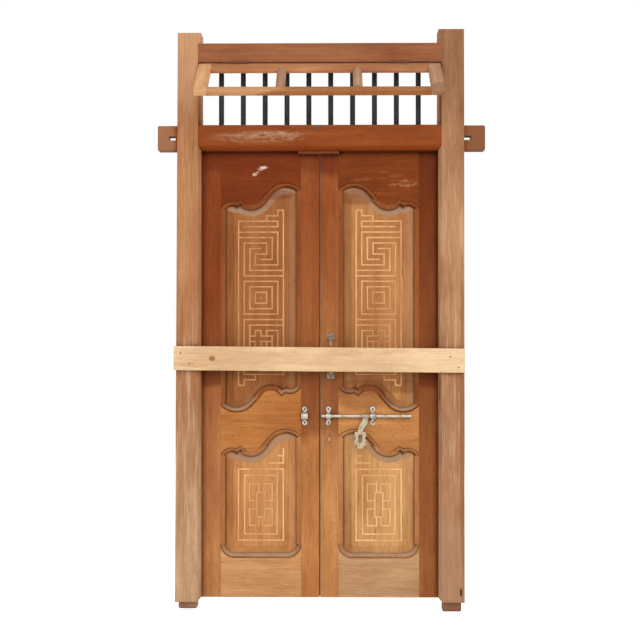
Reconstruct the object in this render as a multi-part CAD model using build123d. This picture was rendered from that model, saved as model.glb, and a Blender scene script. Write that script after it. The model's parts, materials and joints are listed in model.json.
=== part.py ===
from build123d import *
import os
from math import acos, atan2, cos, hypot, sin, sqrt

# An old double-leaf panelled door in its heavy frame, with a barred transom over it.
# Units are millimetres. X runs to the right, Y away from the viewer and Z up.
# The origin is midway between the leaves, in the front plane, at the foot tenons' ends.

# Doorway and posts
doorway_width = 952.0
post_width = 102.0
left_post_top_width = 93.0
post_depth = 90.0
left_post_over_head = 43.0
right_post_over_head = 55.0
worn_corner = 14.0
left_foot_length = 30.0
right_foot_length = 40.0
foot_width = 75.0
foot_thick = 46.0
foot_set_in = 12.0
foot_chamfer = 5.0

# Lintel, head rail and the rebates between them
soffit_height = 1807.0
lintel_height = 100.0
transom_height = 252.0
head_rail_height = 76.0
head_tenon_length = 60.0
head_tenon_thick = 40.0
head_tenon_shoulder = 10.0
rebate_width = 12.0
stop_depth = 50.0
sash_rebate_depth = 24.0
chamfer_depth = 15.0
lintel_chamfer = 18.0
horn_thick = 50.0
left_horn_length = 74.0
right_horn_length = 86.0
horn_slot_width = 27.0
horn_slot_height = 16.0
horn_slot_gap = 2.0
horn_chamfer = 4.0
bar_count = 10
bar_end_gap = 77.75
bar_radius = 10.5
bar_depth = 57.0
bar_socket = 25.0
stop_block_left = 87.0
stop_block_right = 78.0
stop_block_height = 12.0
stop_block_front = 20.0
catch_centre = -7.0
catch_radius = 16.0
catch_thick = 3.0
catch_sunk = 2.0
catch_stud_radius = 4.0
catch_stud_length = 7.0

# Batten nailed across the posts
batten_left_past_post = 3.0
batten_right_short_of_post = 1.0
batten_height = 96.0
batten_thick = 22.0
batten_centre_height = 969.0
batten_tilt = 0.5

# Door leaves
leaf_thick = 37.0
leaf_stop_gap = 0.5
leaf_side_gap = 2.0
leaf_top_gap = 2.0
meeting_gap = 0.8
meeting_bevel = 2.0
leaf_bottom_gap = 10.0
hanging_stile_width = 86.0
meeting_stile_width = 74.6
tenon_length = 48.0
tenon_end_gap = 2.0
tenon_shoulder = 36.0

# Panels, their mouldings and their raised fields
moulding_width = 19.0
moulding_proud = 3.0
moulding_shoulder = 11.0
moulding_knee = 6.0
moulding_knee_depth = 4.0
moulding_quirk = 2.5
moulding_quirk_depth = 5.0
panel_set_back = 10.0
panel_thick = 12.0
tongue_depth = 9.0
field_rise = 8.0
field_step = 1.5
field_side_band = 33.0
field_end_band = 26.0
upper_spring_drop = 262.0
upper_panel_foot = 878.0
lower_panel_spring = 561.0
lower_panel_bottom = 187.0
lower_corner_radius = 36.0

# Scrolled panel heads: a small lobe, a cusp, a hanging curve and a high crest.
# They are drawn for this width of panel, and grow and shrink with the panels.
scroll_drawn_width = 287.0
lobe_radius = 30.7
lobe_offset = 25.5
valley_offset = 44.0
cusp_offset = 58.5
sag_radius = 66.5
sag_offset = 103.0
sag_rise = 83.5
crest_radius = 68.5
crest_offset = 44.1
crest_rise = 37.3

# Fret lines let into the raised fields
fret_line = 6.5
fret_proud = 1.0
fret_seat = 2.0
fret_margin = 53.0
fret_columns = 8
fret_rows = 32
fret_over_spring = 15.0
knot_columns = 9
knot_rows = 8
knot_first_row = 21
lower_fret_bottom = 52.0
lower_fret_height = 286.0
lower_fret_border = 25.0
lower_fret_bracket = 45.0
lower_fret_core_width = 32.0
lower_fret_core_height = 99.0
lower_fret_arm_rise = 84.0
lower_fret_riser = 58.0
lower_fret_dash = 22.0
lower_fret_notch = 16.5

# Butt hinges of the leaves
hinge_height = 100.0
hinge_knuckles = 5
hinge_flap_depth = 30.0
hinge_flap_thick = 2.5
hinge_flap_gap = 0.5
hinge_knuckle_radius = 5.0
hinge_pin_radius = 3.0
hinge_pin_head = 2.0
hinge_pin_head_radius = 4.0
knuckle_gap = 0.3
running_clearance = 0.05
hinge_clear_of_wood = 0.2
hinge_end_inset = 200.0

# Transom sash, hung at its top edge and shown propped open
sash_side_gap = 4.0
sash_height = 246.0
sash_rail_height = 45.0
sash_stile_width = 50.0
mullion_width = 37.0
sash_bevel = 12.0
sash_thick = 22.0
sash_set_in = 1.0
sash_gap = 2.0
sash_tenon = 15.0
sash_tenon_thick = 8.0
sash_tenon_shoulder = 6.0
sash_open_angle = 53.0
sash_hinge_width = 80.0
sash_hinge_knuckles = 3
sash_hinge_inset = 164.0
sash_flap_depth = 18.0
sash_flap_thick = 2.0
sash_flap_gap = 0.4
sash_knuckle_radius = 3.5
sash_pin_radius = 2.0

# Slide bolt, its straps and its hasp, drawn back clear of the left leaf
bolt_height = 740.0
bolt_radius = 6.0
bolt_length = 362.0
bolt_stand_off = 16.5
bolt_travel = 124.0
bolt_reach = 117.0
bolt_collar_radius = 7.2
bolt_collar_width = 3.0
bolt_end_chamfer = 1.5
keeper_offset = 60.5
keeper_clearance = 3.4
inner_strap_offset = 35.0
outer_strap_offset = 213.5
strap_width = 20.0
keeper_width = 26.0
strap_wall = 5.0
strap_plate = 3.5
strap_lobe_radius = 10.5
strap_lobe_offset = 27.0
strap_neck_width = 11.0
hasp_offset = 60.5
hasp_eye_length = 23.0
hasp_eye_radius = 10.0
hasp_play = 0.4
hasp_thick = 4.0
hasp_tilt = 14.0
hasp_side_step = 22.0
hasp_shoulder_drop = 64.0
hasp_body_width = 46.0
hasp_body_height = 57.0
hasp_nick_radius = 5.0
hasp_nick_drop = 25.5
hasp_corner_radius = 7.5
hasp_tip_width = 23.0
hasp_tip_drop = 11.0
hasp_tip_radius = 6.5
hasp_neck_width = 20.0
hasp_neck_left_bend = (6.0, 22.0)
hasp_neck_right_bend = (4.0, 32.0)
hasp_neck_sunk = 4.0
hasp_slot_width = 16.0
hasp_slot_height = 34.0
hasp_slot_drop = 91.5
staple_wire = 2.5
staple_span = 22.0
staple_proud = 30.5
staple_seat = 12.0
staple_bend = 7.7

# Pull handle
handle_offset = 44.0
handle_bottom = 889.5
handle_top = 1073.5
handle_plate = 32.0
handle_plate_thick = 4.0
handle_plate_chamfer = 2.0
handle_bar_radius = 5.5
handle_stand_off = 38.0
handle_bend = 15.0

# Heights and depths worked out from the sizes above
shoulder = max(left_foot_length, right_foot_length)
inner = doorway_width / 2
outer = inner + post_width
rebated = inner + rebate_width
soffit = shoulder + soffit_height
lintel_top = soffit + lintel_height
transom_top = lintel_top + transom_height
head_top = transom_top + head_rail_height
leaf_front = stop_depth + leaf_stop_gap
leaf_back = leaf_front + leaf_thick
leaf_outer = -(rebated - leaf_side_gap)
leaf_inner = -meeting_gap / 2
leaf_bottom = shoulder + leaf_bottom_gap
leaf_top = soffit + rebate_width - leaf_top_gap
stile_edge = leaf_outer + hanging_stile_width
meeting_edge = leaf_inner - meeting_stile_width
panel_left = stile_edge + moulding_width
panel_right = meeting_edge - moulding_width
panel_middle = (panel_left + panel_right) / 2
scroll_scale = (panel_right - panel_left) / scroll_drawn_width
side_band = field_side_band * scroll_scale
end_band = field_end_band * scroll_scale
panel_face = leaf_front + panel_set_back
panel_back = panel_face + panel_thick
field_face = panel_face - field_rise
upper_spring = leaf_top - upper_spring_drop
upper_foot = shoulder + upper_panel_foot
upper_middle = (upper_spring + upper_foot) / 2
lower_spring = shoulder + lower_panel_spring
lower_bottom = shoulder + lower_panel_bottom
hinge_x = -(rebated - leaf_side_gap / 2)
hinge_y = post_depth + hinge_knuckle_radius + hinge_clear_of_wood
sash_half = rebated - sash_side_gap
sash_top = transom_top - sash_gap
sash_bottom = sash_top - sash_height
sash_back = sash_set_in + sash_thick
sash_inner = sash_half - sash_stile_width
mullion_place = (sash_inner + mullion_width / 2) / 3
light_bottom = sash_bottom + sash_rail_height
light_top = sash_top - sash_rail_height
sash_axis_y = -(sash_knuckle_radius + hinge_clear_of_wood)
sash_axis_z = transom_top - sash_gap / 2
bolt_y = leaf_front - bolt_stand_off
bolt_z = shoulder + bolt_height


def block(x0, x1, y0, y1, z0, z1):
    """A box between two corners."""
    solid = Box(x1 - x0, y1 - y0, z1 - z0, align=(Align.MIN, Align.MIN, Align.MIN))
    return Pos(x0, y0, z0) * solid


def at_depth(y):
    """The upright plane at depth y, with its normal towards the viewer."""
    return Plane.XZ.offset(-y)


def slab(face, front, back):
    """A drawn face given a thickness from the depth front to the depth back."""
    return extrude(at_depth(back) * face, amount=back - front)


def ramp(front_face, front, back_face, back):
    """A solid whose sides slope from one outline to another."""
    return loft([at_depth(back) * back_face, at_depth(front) * front_face], ruled=True)


def rod_along(axis, centre, radius, length):
    """A round rod of a given length, centred on a point."""
    turn = {"x": Rot(0, 90, 0), "y": Rot(90, 0, 0), "z": Rot(0, 0, 0)}[axis]
    return Pos(*centre) * turn * Cylinder(radius, length)


def mirrored(solid):
    """The same piece on the other side of the meeting line."""
    return mirror(solid, Plane.YZ)


# Panel outlines

def circle_point(centre, radius, x, side):
    """The point of a circle at x, above its centre for side 1 and below it for side -1."""
    return (x, centre[1] + side * sqrt(radius * radius - (x - centre[0]) ** 2))


def shared_tangent(low, low_radius, high, high_radius):
    """Where one straight line leaves the hanging curve and meets the crest."""
    run, rise = high[0] - low[0], high[1] - low[1]
    angle = atan2(rise, run) - acos((low_radius + high_radius) / hypot(run, rise))
    start = (low[0] + low_radius * cos(angle), low[1] + low_radius * sin(angle))
    end = (high[0] - high_radius * cos(angle), high[1] - high_radius * sin(angle))
    return start, end


def sag_circle(spring, band):
    """The hanging curve's centre and radius, for an outline that far inside the opening."""
    centre = (panel_left + sag_offset * scroll_scale, spring + sag_rise * scroll_scale)
    return centre, sag_radius * scroll_scale + band


def high_end(left_limit, band, right, spring):
    """The hanging curve's circle, the crest's circle and the edges from their tangent on."""
    sag, sag_r = sag_circle(spring, band)
    crest = (panel_right - crest_offset * scroll_scale, spring + crest_rise * scroll_scale)
    crest_r = crest_radius * scroll_scale - band
    leave, meet = shared_tangent(sag, sag_r, crest, crest_r)
    end = circle_point(crest, crest_r, right, 1)
    edges = [
        ThreePointArc(left_limit(sag, sag_r), (sag[0], sag[1] - sag_r), leave),
        Line(leave, meet),
        ThreePointArc(meet, (crest[0], crest[1] + crest_r), end),
    ]
    return edges, end


def scroll_head(spring):
    """The scrolled head of a panel opening, from its left side to its right side."""
    lobe = (panel_left + lobe_offset * scroll_scale, spring)
    lobe_r = lobe_radius * scroll_scale
    start = circle_point(lobe, lobe_r, panel_left, 1)
    valley = circle_point(lobe, lobe_r, panel_left + valley_offset * scroll_scale, 1)

    def cusp(sag, radius):
        return circle_point(sag, radius, panel_left + cusp_offset * scroll_scale, -1)

    high, end = high_end(cusp, 0.0, panel_right, spring)
    tip = cusp(*sag_circle(spring, 0.0))
    low = [ThreePointArc(start, (lobe[0], lobe[1] + lobe_r), valley), Line(valley, tip)]
    return low + high, start, end


def field_head(spring):
    """The same head for the raised field, which passes level under the lobe and cusp."""
    left = panel_left + side_band
    level = spring + lobe_radius * scroll_scale - end_band

    def meets(sag, radius):
        return (sag[0] - sqrt(radius * radius - (sag[1] - level) ** 2), level)

    high, end = high_end(meets, end_band, panel_right - side_band, spring)
    turn = meets(*sag_circle(spring, end_band))
    half = ((left + turn[0]) / 2, level)
    start = (left, level)
    return [Line(start, half), Line(half, turn)] + high, start, end


def turned_about(edges, centre_z):
    """The head's edges turned half round about the panel's middle, to make its foot."""
    pivot = Axis((panel_middle, centre_z, 0), (0, 0, 1))
    return [edge.rotate(pivot, 180) for edge in edges]


def scrolled_both_ends(head, middle_z):
    """A closed outline whose foot is its head turned half round."""
    edges, start, end = head

    def opposite(point):
        return (2 * panel_middle - point[0], 2 * middle_z - point[1])

    sides = [Line(end, opposite(start)), Line(opposite(end), start)]
    return make_face(Wire(edges + sides[:1] + turned_about(edges, middle_z) + sides[1:]))


def scrolled_over_round_foot(head, bottom, radius):
    """A closed outline with a scrolled head and two rounded lower corners."""
    edges, start, end = head
    bend = radius * (1 - sqrt(0.5))
    left, right = start[0], end[0]
    foot = [
        Line(end, (right, bottom + radius)),
        ThreePointArc((right, bottom + radius), (right - bend, bottom + bend), (right - radius, bottom)),
        Line((right - radius, bottom), (left + radius, bottom)),
        ThreePointArc((left + radius, bottom), (left + bend, bottom + bend), (left, bottom + radius)),
        Line((left, bottom + radius), start),
    ]
    return make_face(Wire(edges + foot))


def grown(face, amount):
    """An outline moved outwards by the same amount all round, its points kept sharp."""
    return offset(face, amount=amount, kind=Kind.INTERSECTION)


upper_opening = scrolled_both_ends(scroll_head(upper_spring), upper_middle)
upper_field = scrolled_both_ends(field_head(upper_spring), upper_middle)
lower_opening = scrolled_over_round_foot(scroll_head(lower_spring), lower_bottom, lower_corner_radius)
lower_field = scrolled_over_round_foot(
    field_head(lower_spring), lower_bottom + end_band, lower_corner_radius - end_band
)


# Frame

def bevel_prism(length_axis_limits, profile_plane, points):
    """A triangular bar between two limits, for planing a bevel along an edge."""
    low, high = length_axis_limits
    return extrude(profile_plane.offset(low) * make_face(Polyline(*points, close=True)), amount=high - low)


def mitre_front(top):
    """The lintel's front outline, whose lower corners are mitred into the posts' bevels."""
    points = (
        (-rebated, top), (rebated, top), (rebated, soffit + lintel_chamfer),
        (inner, soffit), (-inner, soffit), (-rebated, soffit + lintel_chamfer),
    )
    return make_face(Polyline(*points, close=True))


def horn_middle():
    """The depth at the middle of the horns and of the foot tenons."""
    return post_depth / 2


def lintel_through_tenon(side, length):
    """The tenon that runs through a post and stands out as a horn, slotted for its peg."""
    reach = outer + length
    near, far = sorted((side * inner, side * reach))
    y0, y1 = horn_middle() - horn_thick / 2, horn_middle() + horn_thick / 2
    tenon = block(near, far, y0, y1, soffit, lintel_top)
    tenon = chamfer(tenon.faces().sort_by(Axis.X)[0 if side < 0 else -1].edges(), horn_chamfer)
    slot = sorted((side * (outer + horn_slot_gap), side * (outer + horn_slot_gap + horn_slot_width)))
    middle = (soffit + lintel_top) / 2
    return tenon - block(*slot, 0, post_depth, middle - horn_slot_height / 2, middle + horn_slot_height / 2)


def bar_places():
    """The bars' places along the transom."""
    first = -inner + bar_end_gap
    pitch = -2 * first / (bar_count - 1)
    return [first + number * pitch for number in range(bar_count)]


def transom_bars():
    """Round iron bars, let into the lintel below and the head rail above."""
    length = transom_height + 2 * bar_socket
    middle = (lintel_top + transom_top) / 2
    return Compound([rod_along("z", (x, bar_depth, middle), bar_radius, length) for x in bar_places()])


def sash_catch():
    """A half-round iron plate let into the lintel's top edge, with a stud that the sash meets."""
    disc = Circle(catch_radius) - Pos(0, catch_radius) * Rectangle(3 * catch_radius, 2 * catch_radius)
    plate = slab(Pos(catch_centre, lintel_top) * disc, catch_sunk - catch_thick, catch_sunk)
    middle = (catch_centre, catch_sunk - catch_thick - catch_stud_length / 2, lintel_top - catch_radius / 2)
    return plate + rod_along("y", middle, catch_stud_radius, catch_stud_length)


def head_rail_tenon(side):
    """A blind tenon at one end of the head rail."""
    near, far = sorted((side * inner, side * (inner + head_tenon_length)))
    y0 = (post_depth - head_tenon_thick) / 2
    low, high = transom_top + head_tenon_shoulder, head_top - head_tenon_shoulder
    return block(near, far, y0, y0 + head_tenon_thick, low, high)


def head_rail():
    """The head rail, whose front laps the posts' rebates."""
    rail = block(-inner, inner, 0, post_depth, transom_top, head_top)
    rail += block(-rebated, rebated, 0, sash_rebate_depth, transom_top, head_top)
    rail += head_rail_tenon(-1)
    rail += head_rail_tenon(1)
    return rail


def lintel():
    """The lintel with its horns, its bevelled lower edge and the leaves' rebate behind."""
    beam = slab(mitre_front(lintel_top), 0, chamfer_depth)
    beam += block(-inner, inner, chamfer_depth, post_depth, soffit, lintel_top)
    for side, length in ((-1, left_horn_length), (1, right_horn_length)):
        beam += lintel_through_tenon(side, length)
    edge = ((0, soffit), (0, soffit + lintel_chamfer), (chamfer_depth, soffit))
    beam -= bevel_prism((-outer, outer), Plane.YZ, edge)
    beam -= block(-rebated, rebated, stop_depth, post_depth, soffit, soffit + rebate_width)
    return beam


def left_post_blank():
    """The left post before it is cut, a little narrower at its top."""
    narrowed = outer - (post_width - left_post_top_width)
    top = head_top + left_post_over_head
    face = make_face(Polyline(
        (-outer, shoulder), (-inner, shoulder), (-inner, top), (-narrowed, top), close=True
    ))
    return slab(face, 0, post_depth)


def foot_tenon(length):
    """The stub tenon under the left post, with its end eased."""
    x0 = -outer + foot_set_in
    y0 = horn_middle() - foot_thick / 2
    tenon = block(x0, x0 + foot_width, y0, y0 + foot_thick, shoulder - length, shoulder)
    return chamfer(tenon.faces().sort_by(Axis.Z)[0].edges(), foot_chamfer)


def shaped_post(blank, foot_length):
    """A left-hand post with its rebates, bevel, worn corner and foot tenon."""
    post = blank
    bevel = ((-rebated, 0), (-inner, 0), (-inner, chamfer_depth))
    post -= bevel_prism((shoulder, soffit + lintel_chamfer), Plane.XY, bevel)
    post -= block(-rebated, -inner, stop_depth, post_depth, shoulder, soffit + rebate_width)
    post -= block(-rebated, -inner, 0, sash_rebate_depth, lintel_top, head_top)
    wear = ((-inner, shoulder), (-inner, shoulder + worn_corner), (-inner - worn_corner, shoulder))
    post -= bevel_prism((-post_depth, 0), Plane.XZ, wear)
    return post + foot_tenon(foot_length)


def frame_pieces():
    """The posts, rails, bars and what is fixed to them."""
    beam, rail, bars, catch = lintel(), head_rail(), transom_bars(), sash_catch()
    left = shaped_post(left_post_blank(), left_foot_length)
    right_blank = block(-outer, -inner, 0, post_depth, shoulder, head_top + right_post_over_head)
    right = mirrored(shaped_post(right_blank, right_foot_length))
    flaps = post_hinge_flaps()
    recess = at_hinge_levels(leaf_hinge_plate(-1))
    return {
        "left_post": left - beam - rail - recess,
        "right_post": right - beam - rail - mirrored(recess),
        "lintel": beam - bars - catch,
        "head_rail": rail - bars - at_sash_hinges(sash_hinge_plate(1)),
        "transom_bars": bars,
        "head_stop_block": block(
            -stop_block_left, stop_block_right, stop_block_front, stop_depth, soffit - stop_block_height, soffit
        ),
        "sash_catch": catch,
        "brace_batten": brace_batten(),
        "left_hinge_post_flaps": flaps,
        "right_hinge_post_flaps": mirrored(flaps),
        "left_hinge_pins": leaf_hinge_pins(),
        "right_hinge_pins": mirrored(leaf_hinge_pins()),
        "sash_hinge_rail_flaps": at_sash_hinges(sash_flap(1, 0)),
        "sash_hinge_pins": sash_hinge_pins(),
    }


def brace_batten():
    """A sawn softwood batten across the front of both posts, not quite level."""
    z = shoulder + batten_centre_height
    x0, x1 = -outer - batten_left_past_post, outer - batten_right_short_of_post
    board = block(x0, x1, -batten_thick, 0, z - batten_height / 2, z + batten_height / 2)
    return board.rotate(Axis((0, 0, z), (0, 1, 0)), batten_tilt)


# Hinges

def knuckle_spans(length, count, first):
    """Every second knuckle's middle and length, starting with the given one."""
    pitch = length / count
    return [((number + 0.5) * pitch - length / 2, pitch - knuckle_gap) for number in range(first, count, 2)]


def leaf_hinge_levels():
    """The heights of the leaf hinges' middles."""
    low, high = leaf_bottom + hinge_end_inset, leaf_top - hinge_end_inset
    return [low, (low + high) / 2, high]


def leaf_hinge_plate(side):
    """The flat of a leaf hinge's flap at the origin's height; side -1 is the post's, 1 the leaf's."""
    near = hinge_x + side * hinge_flap_gap / 2
    x0, x1 = sorted((near, near + side * hinge_flap_thick))
    return block(x0, x1, hinge_y - hinge_flap_depth, hinge_y, -hinge_height / 2, hinge_height / 2)


def leaf_hinge_flap(side, first):
    """One flap of a leaf hinge with its knuckles, the first of them as numbered from below."""
    flap = leaf_hinge_plate(side)
    slots = [
        rod_along("z", (hinge_x, hinge_y, z), hinge_knuckle_radius + knuckle_gap, span + 2 * knuckle_gap)
        for z, span in knuckle_spans(hinge_height, hinge_knuckles, 1 - first)
    ]
    knuckles = [
        rod_along("z", (hinge_x, hinge_y, z), hinge_knuckle_radius, span)
        for z, span in knuckle_spans(hinge_height, hinge_knuckles, first)
    ]
    flap = flap - slots + knuckles
    bore = rod_along("z", (hinge_x, hinge_y, 0), hinge_pin_radius + running_clearance, 2 * hinge_height)
    return flap - bore


def at_hinge_levels(piece):
    """A piece repeated at the three hinges of a leaf."""
    return Compound([solid for z in leaf_hinge_levels() for solid in (Pos(0, 0, z) * piece).solids()])


def post_hinge_flaps():
    """The flaps let into the left post's rebate."""
    return at_hinge_levels(leaf_hinge_flap(-1, 0))


def leaf_hinge_flaps():
    """The flaps let into the left leaf's edge."""
    return at_hinge_levels(leaf_hinge_flap(1, 1))


def leaf_hinge_pins():
    """Hinge pins with small flat heads."""
    pin = rod_along("z", (hinge_x, hinge_y, 0), hinge_pin_radius, hinge_height)
    for end in (-1, 1):
        middle = end * (hinge_height + hinge_pin_head) / 2
        pin += rod_along("z", (hinge_x, hinge_y, middle), hinge_pin_head_radius, hinge_pin_head)
    return at_hinge_levels(pin)


def sash_hinge_plate(side):
    """The flat of a sash hinge's flap at X = 0; side 1 is the rail's and -1 the sash's."""
    near = sash_axis_z + side * sash_flap_gap / 2
    z0, z1 = sorted((near, near + side * sash_flap_thick))
    half = sash_hinge_width / 2
    return block(-half, half, sash_axis_y, sash_flap_depth, z0, z1)


def sash_flap(side, first):
    """One flap of a sash hinge with its knuckles."""
    flap = sash_hinge_plate(side)
    slots = [
        rod_along("x", (x, sash_axis_y, sash_axis_z), sash_knuckle_radius + knuckle_gap, span + 2 * knuckle_gap)
        for x, span in knuckle_spans(sash_hinge_width, sash_hinge_knuckles, 1 - first)
    ]
    knuckles = [
        rod_along("x", (x, sash_axis_y, sash_axis_z), sash_knuckle_radius, span)
        for x, span in knuckle_spans(sash_hinge_width, sash_hinge_knuckles, first)
    ]
    bore = rod_along("x", (0, sash_axis_y, sash_axis_z), sash_pin_radius + running_clearance, 2 * sash_hinge_width)
    return flap - slots + knuckles - bore


def at_sash_hinges(piece):
    """A piece repeated at the sash's two hinges."""
    places = (sash_hinge_inset - sash_half, sash_half - sash_hinge_inset)
    return Compound([solid for x in places for solid in (Pos(x, 0, 0) * piece).solids()])


def sash_hinge_pins():
    """The sash hinges' pins."""
    return at_sash_hinges(rod_along("x", (0, sash_axis_y, sash_axis_z), sash_pin_radius, sash_hinge_width))


# Transom sash

def sash_tenon_at(x0, x1, z0, z1):
    """A tenon in the middle of the sash's thickness."""
    y0 = sash_set_in + (sash_thick - sash_tenon_thick) / 2
    return block(x0, x1, y0, y0 + sash_tenon_thick, z0, z1)


def sash_rail(low):
    """A sash rail between the stiles, with a tenon at each end."""
    rail = block(-sash_inner, sash_inner, sash_set_in, sash_back, low, low + sash_rail_height)
    span = (low + sash_tenon_shoulder, low + sash_rail_height - sash_tenon_shoulder)
    rail += sash_tenon_at(-sash_inner - sash_tenon, -sash_inner, *span)
    rail += sash_tenon_at(sash_inner, sash_inner + sash_tenon, *span)
    return rail


def sash_mullion(x):
    """An upright between the lights, with a tenon at each end."""
    half = mullion_width / 2
    upright = block(x - half, x + half, sash_set_in, sash_back, light_bottom, light_top)
    span = (x - half + sash_tenon_shoulder, x + half - sash_tenon_shoulder)
    return upright + sash_tenon_at(*span, light_bottom - sash_tenon, light_top + sash_tenon)


def sash_stile(side):
    """An upright side of the sash, running past both rails."""
    x0, x1 = sorted((side * sash_half, side * sash_inner))
    return block(x0, x1, sash_set_in, sash_back, sash_bottom, sash_top)


def light_mouths():
    """The lights' bevelled mouths, which are planed into every sash piece around them."""
    half = mullion_width / 2
    edges = (-sash_inner, half - mullion_place, mullion_place + half)
    width = sash_inner - edges[-1]
    middle = (light_bottom + light_top) / 2
    mouths = []
    for left in edges:
        light = Pos(left + width / 2, middle) * Rectangle(width, light_top - light_bottom)
        mouths.append(ramp(grown(light, sash_bevel), sash_set_in, light, sash_set_in + sash_bevel))
    return mouths


def opened(piece):
    """A sash piece swung out about its hinge line to where it is propped."""
    return piece.rotate(Axis((0, sash_axis_y, sash_axis_z), (-1, 0, 0)), sash_open_angle)


def sash_pieces():
    """The sash with its hinge flaps, built shut and then swung open."""
    top, bottom = sash_rail(light_top), sash_rail(sash_bottom)
    mullions = [sash_mullion(side * mullion_place) for side in (-1, 1)]
    mouths = light_mouths()
    shut = {
        "sash_top_rail": top - mullions - at_sash_hinges(sash_hinge_plate(-1)) - mouths,
        "sash_bottom_rail": bottom - mullions - mouths,
        "sash_left_stile": sash_stile(-1) - top - bottom - mouths,
        "sash_right_stile": sash_stile(1) - top - bottom - mouths,
        "sash_left_mullion": mullions[0] - mouths,
        "sash_right_mullion": mullions[1] - mouths,
        "sash_hinge_flaps": at_sash_hinges(sash_flap(-1, 1)),
    }
    return {name: opened(piece) for name, piece in shut.items()}


# Door leaves

def panel(opening, field):
    """A panel with a tongue all round, sloping margins and a field raised by a small step."""
    plate = slab(grown(opening, moulding_width + tongue_depth), panel_face, panel_back)
    margins = ramp(field, field_face + field_step, opening, panel_face)
    return plate + margins + slab(field, field_face, field_face + field_step)


def moulding_ring(opening):
    """A moulding all round an opening: two slopes inside, a flat crown and an outer quirk."""
    crown = leaf_front - moulding_proud
    knee = crown + moulding_knee_depth
    ring = slab(grown(opening, moulding_width), crown, panel_face)
    knee_line = grown(opening, moulding_knee)
    ring -= ramp(grown(opening, moulding_shoulder), crown, knee_line, knee)
    ring -= ramp(knee_line, knee, opening, panel_face)
    quirk = grown(opening, moulding_width) - grown(opening, moulding_width - moulding_quirk)
    return ring - slab(quirk, crown, crown + moulding_quirk_depth)


def moulding(opening, ends):
    """Moulded ends as far as their mitres, with plain flush strips up both sides between them."""
    strips = slab(grown(opening, moulding_width) - opening, leaf_front, panel_face)
    zones = [slab(zone, leaf_front - moulding_proud, panel_face) for zone in ends]
    ring = moulding_ring(opening)
    shaped = ring & zones[0]
    for zone in zones[1:]:
        shaped += ring & zone
    return strips - zones + shaped


def scroll_zone(spring):
    """What lies above the mitres at the two ends of a scrolled head."""
    lobe = (panel_left + lobe_offset * scroll_scale, spring)
    crest = (panel_right - crest_offset * scroll_scale, spring + crest_rise * scroll_scale)
    left, right = panel_left - moulding_width, panel_right + moulding_width
    left_mitre = circle_point(lobe, lobe_radius * scroll_scale + moulding_width, left, 1)
    right_mitre = circle_point(crest, crest_radius * scroll_scale + moulding_width, right, 1)
    start, end = scroll_head(spring)[1:]
    top = end[1] + 2 * crest_radius
    return make_face(Polyline((left, top), left_mitre, start, end, right_mitre, (right, top), close=True))


def foot_zone(bottom, radius):
    """What lies below the rounded lower corners of an opening."""
    left, right = panel_left - moulding_width, panel_right + moulding_width
    low, high = bottom - 2 * moulding_width, bottom + radius
    return make_face(Polyline((left, low), (right, low), (right, high), (left, high), close=True))


def rail_tenons(rail):
    """Blind tenons at both ends of a rail, in the plane of the panels' grooves."""
    box = rail.bounding_box()
    low, high = end_span(rail)
    left = block(stile_edge - tenon_length, stile_edge, panel_face, panel_back, *low)
    right_length = min(tenon_length, meeting_stile_width - 2 * tenon_end_gap)
    right = block(box.max.X, box.max.X + right_length, panel_face, panel_back, *high)
    return left, right


def end_span(rail):
    """How high a rail's two ends are, less a shoulder above and below."""
    spans = []
    for face in (rail.faces().sort_by(Axis.X)[0], rail.faces().sort_by(Axis.X)[-1]):
        box = face.bounding_box()
        spans.append((box.min.Z + tenon_shoulder, box.max.Z - tenon_shoulder))
    return spans


def leaf_rails():
    """The three rails, whose edges follow the panels' outlines."""
    body = block(stile_edge, meeting_edge, leaf_front, leaf_back, leaf_bottom, leaf_top)
    for opening in (upper_opening, lower_opening):
        body -= slab(grown(opening, moulding_width), leaf_front, leaf_back)
    return body.solids().sort_by(Axis.Z)


def fret_bars(points, width):
    """The strokes of one fret line, each square-ended."""
    strokes = []
    for (x0, z0), (x1, z1) in zip(points, points[1:]):
        place = Pos((x0 + x1) / 2, (z0 + z1) / 2)
        strokes.append(place * Rectangle(abs(x1 - x0) + width, abs(z1 - z0) + width))
    return strokes


def loop(x0, z0, x1, z1):
    """The corners of a rectangular fret line."""
    return ((x0, z0), (x1, z0), (x1, z1), (x0, z1), (x0, z0))


def half_turned(paths, total_column, total_row):
    """Grid paths with their copies turned half round about a point."""
    turned = [[(total_column - c, total_row - r) for c, r in path] for path in paths]
    return list(paths) + turned


def upper_fret_paths():
    """The upper fret on a grid of columns from the left and rows from the top."""
    columns, rows = fret_columns, fret_rows
    ends = half_turned([
        ((columns, rows - 2), (columns, 0), (7, 0), (7, 1), (5, 1), (5, 2)),
        ((0, 2), (7, 2)),
    ], columns, rows)
    spiral = [
        ((7, 2), (7, 3), (1, 3)),
        ((0, 4), (7, 4), (7, 10), (3, 10), (3, 8), (5, 8), (5, 6), (1, 6), (1, 12), (8, 12)),
        ((0, 5), (6, 5), (6, 9), (4, 9)),
        ((4, 7), (2, 7), (2, 11), (8, 11)),
    ]
    squares = [loop(4 - n, 16 - n, 4 + n, 16 + n) for n in (1, 2, 3)]
    knot = half_turned([
        ((8, 21), (2, 21), (2, 28), (4, 28), (4, 27)),
        ((2, 23), (3, 23), (3, 22), (4, 22), (4, 23), (6, 23), (6, 26)),
        ((2, 24), (3, 24)),
        ((4, 26), (4, 24), (6, 24)),
    ], knot_columns, 2 * knot_first_row + knot_rows)
    return ends + spiral + squares + knot + [((8, 20), (1, 20), (1, 30)), ((4, 16), (4, 16))]


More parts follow.
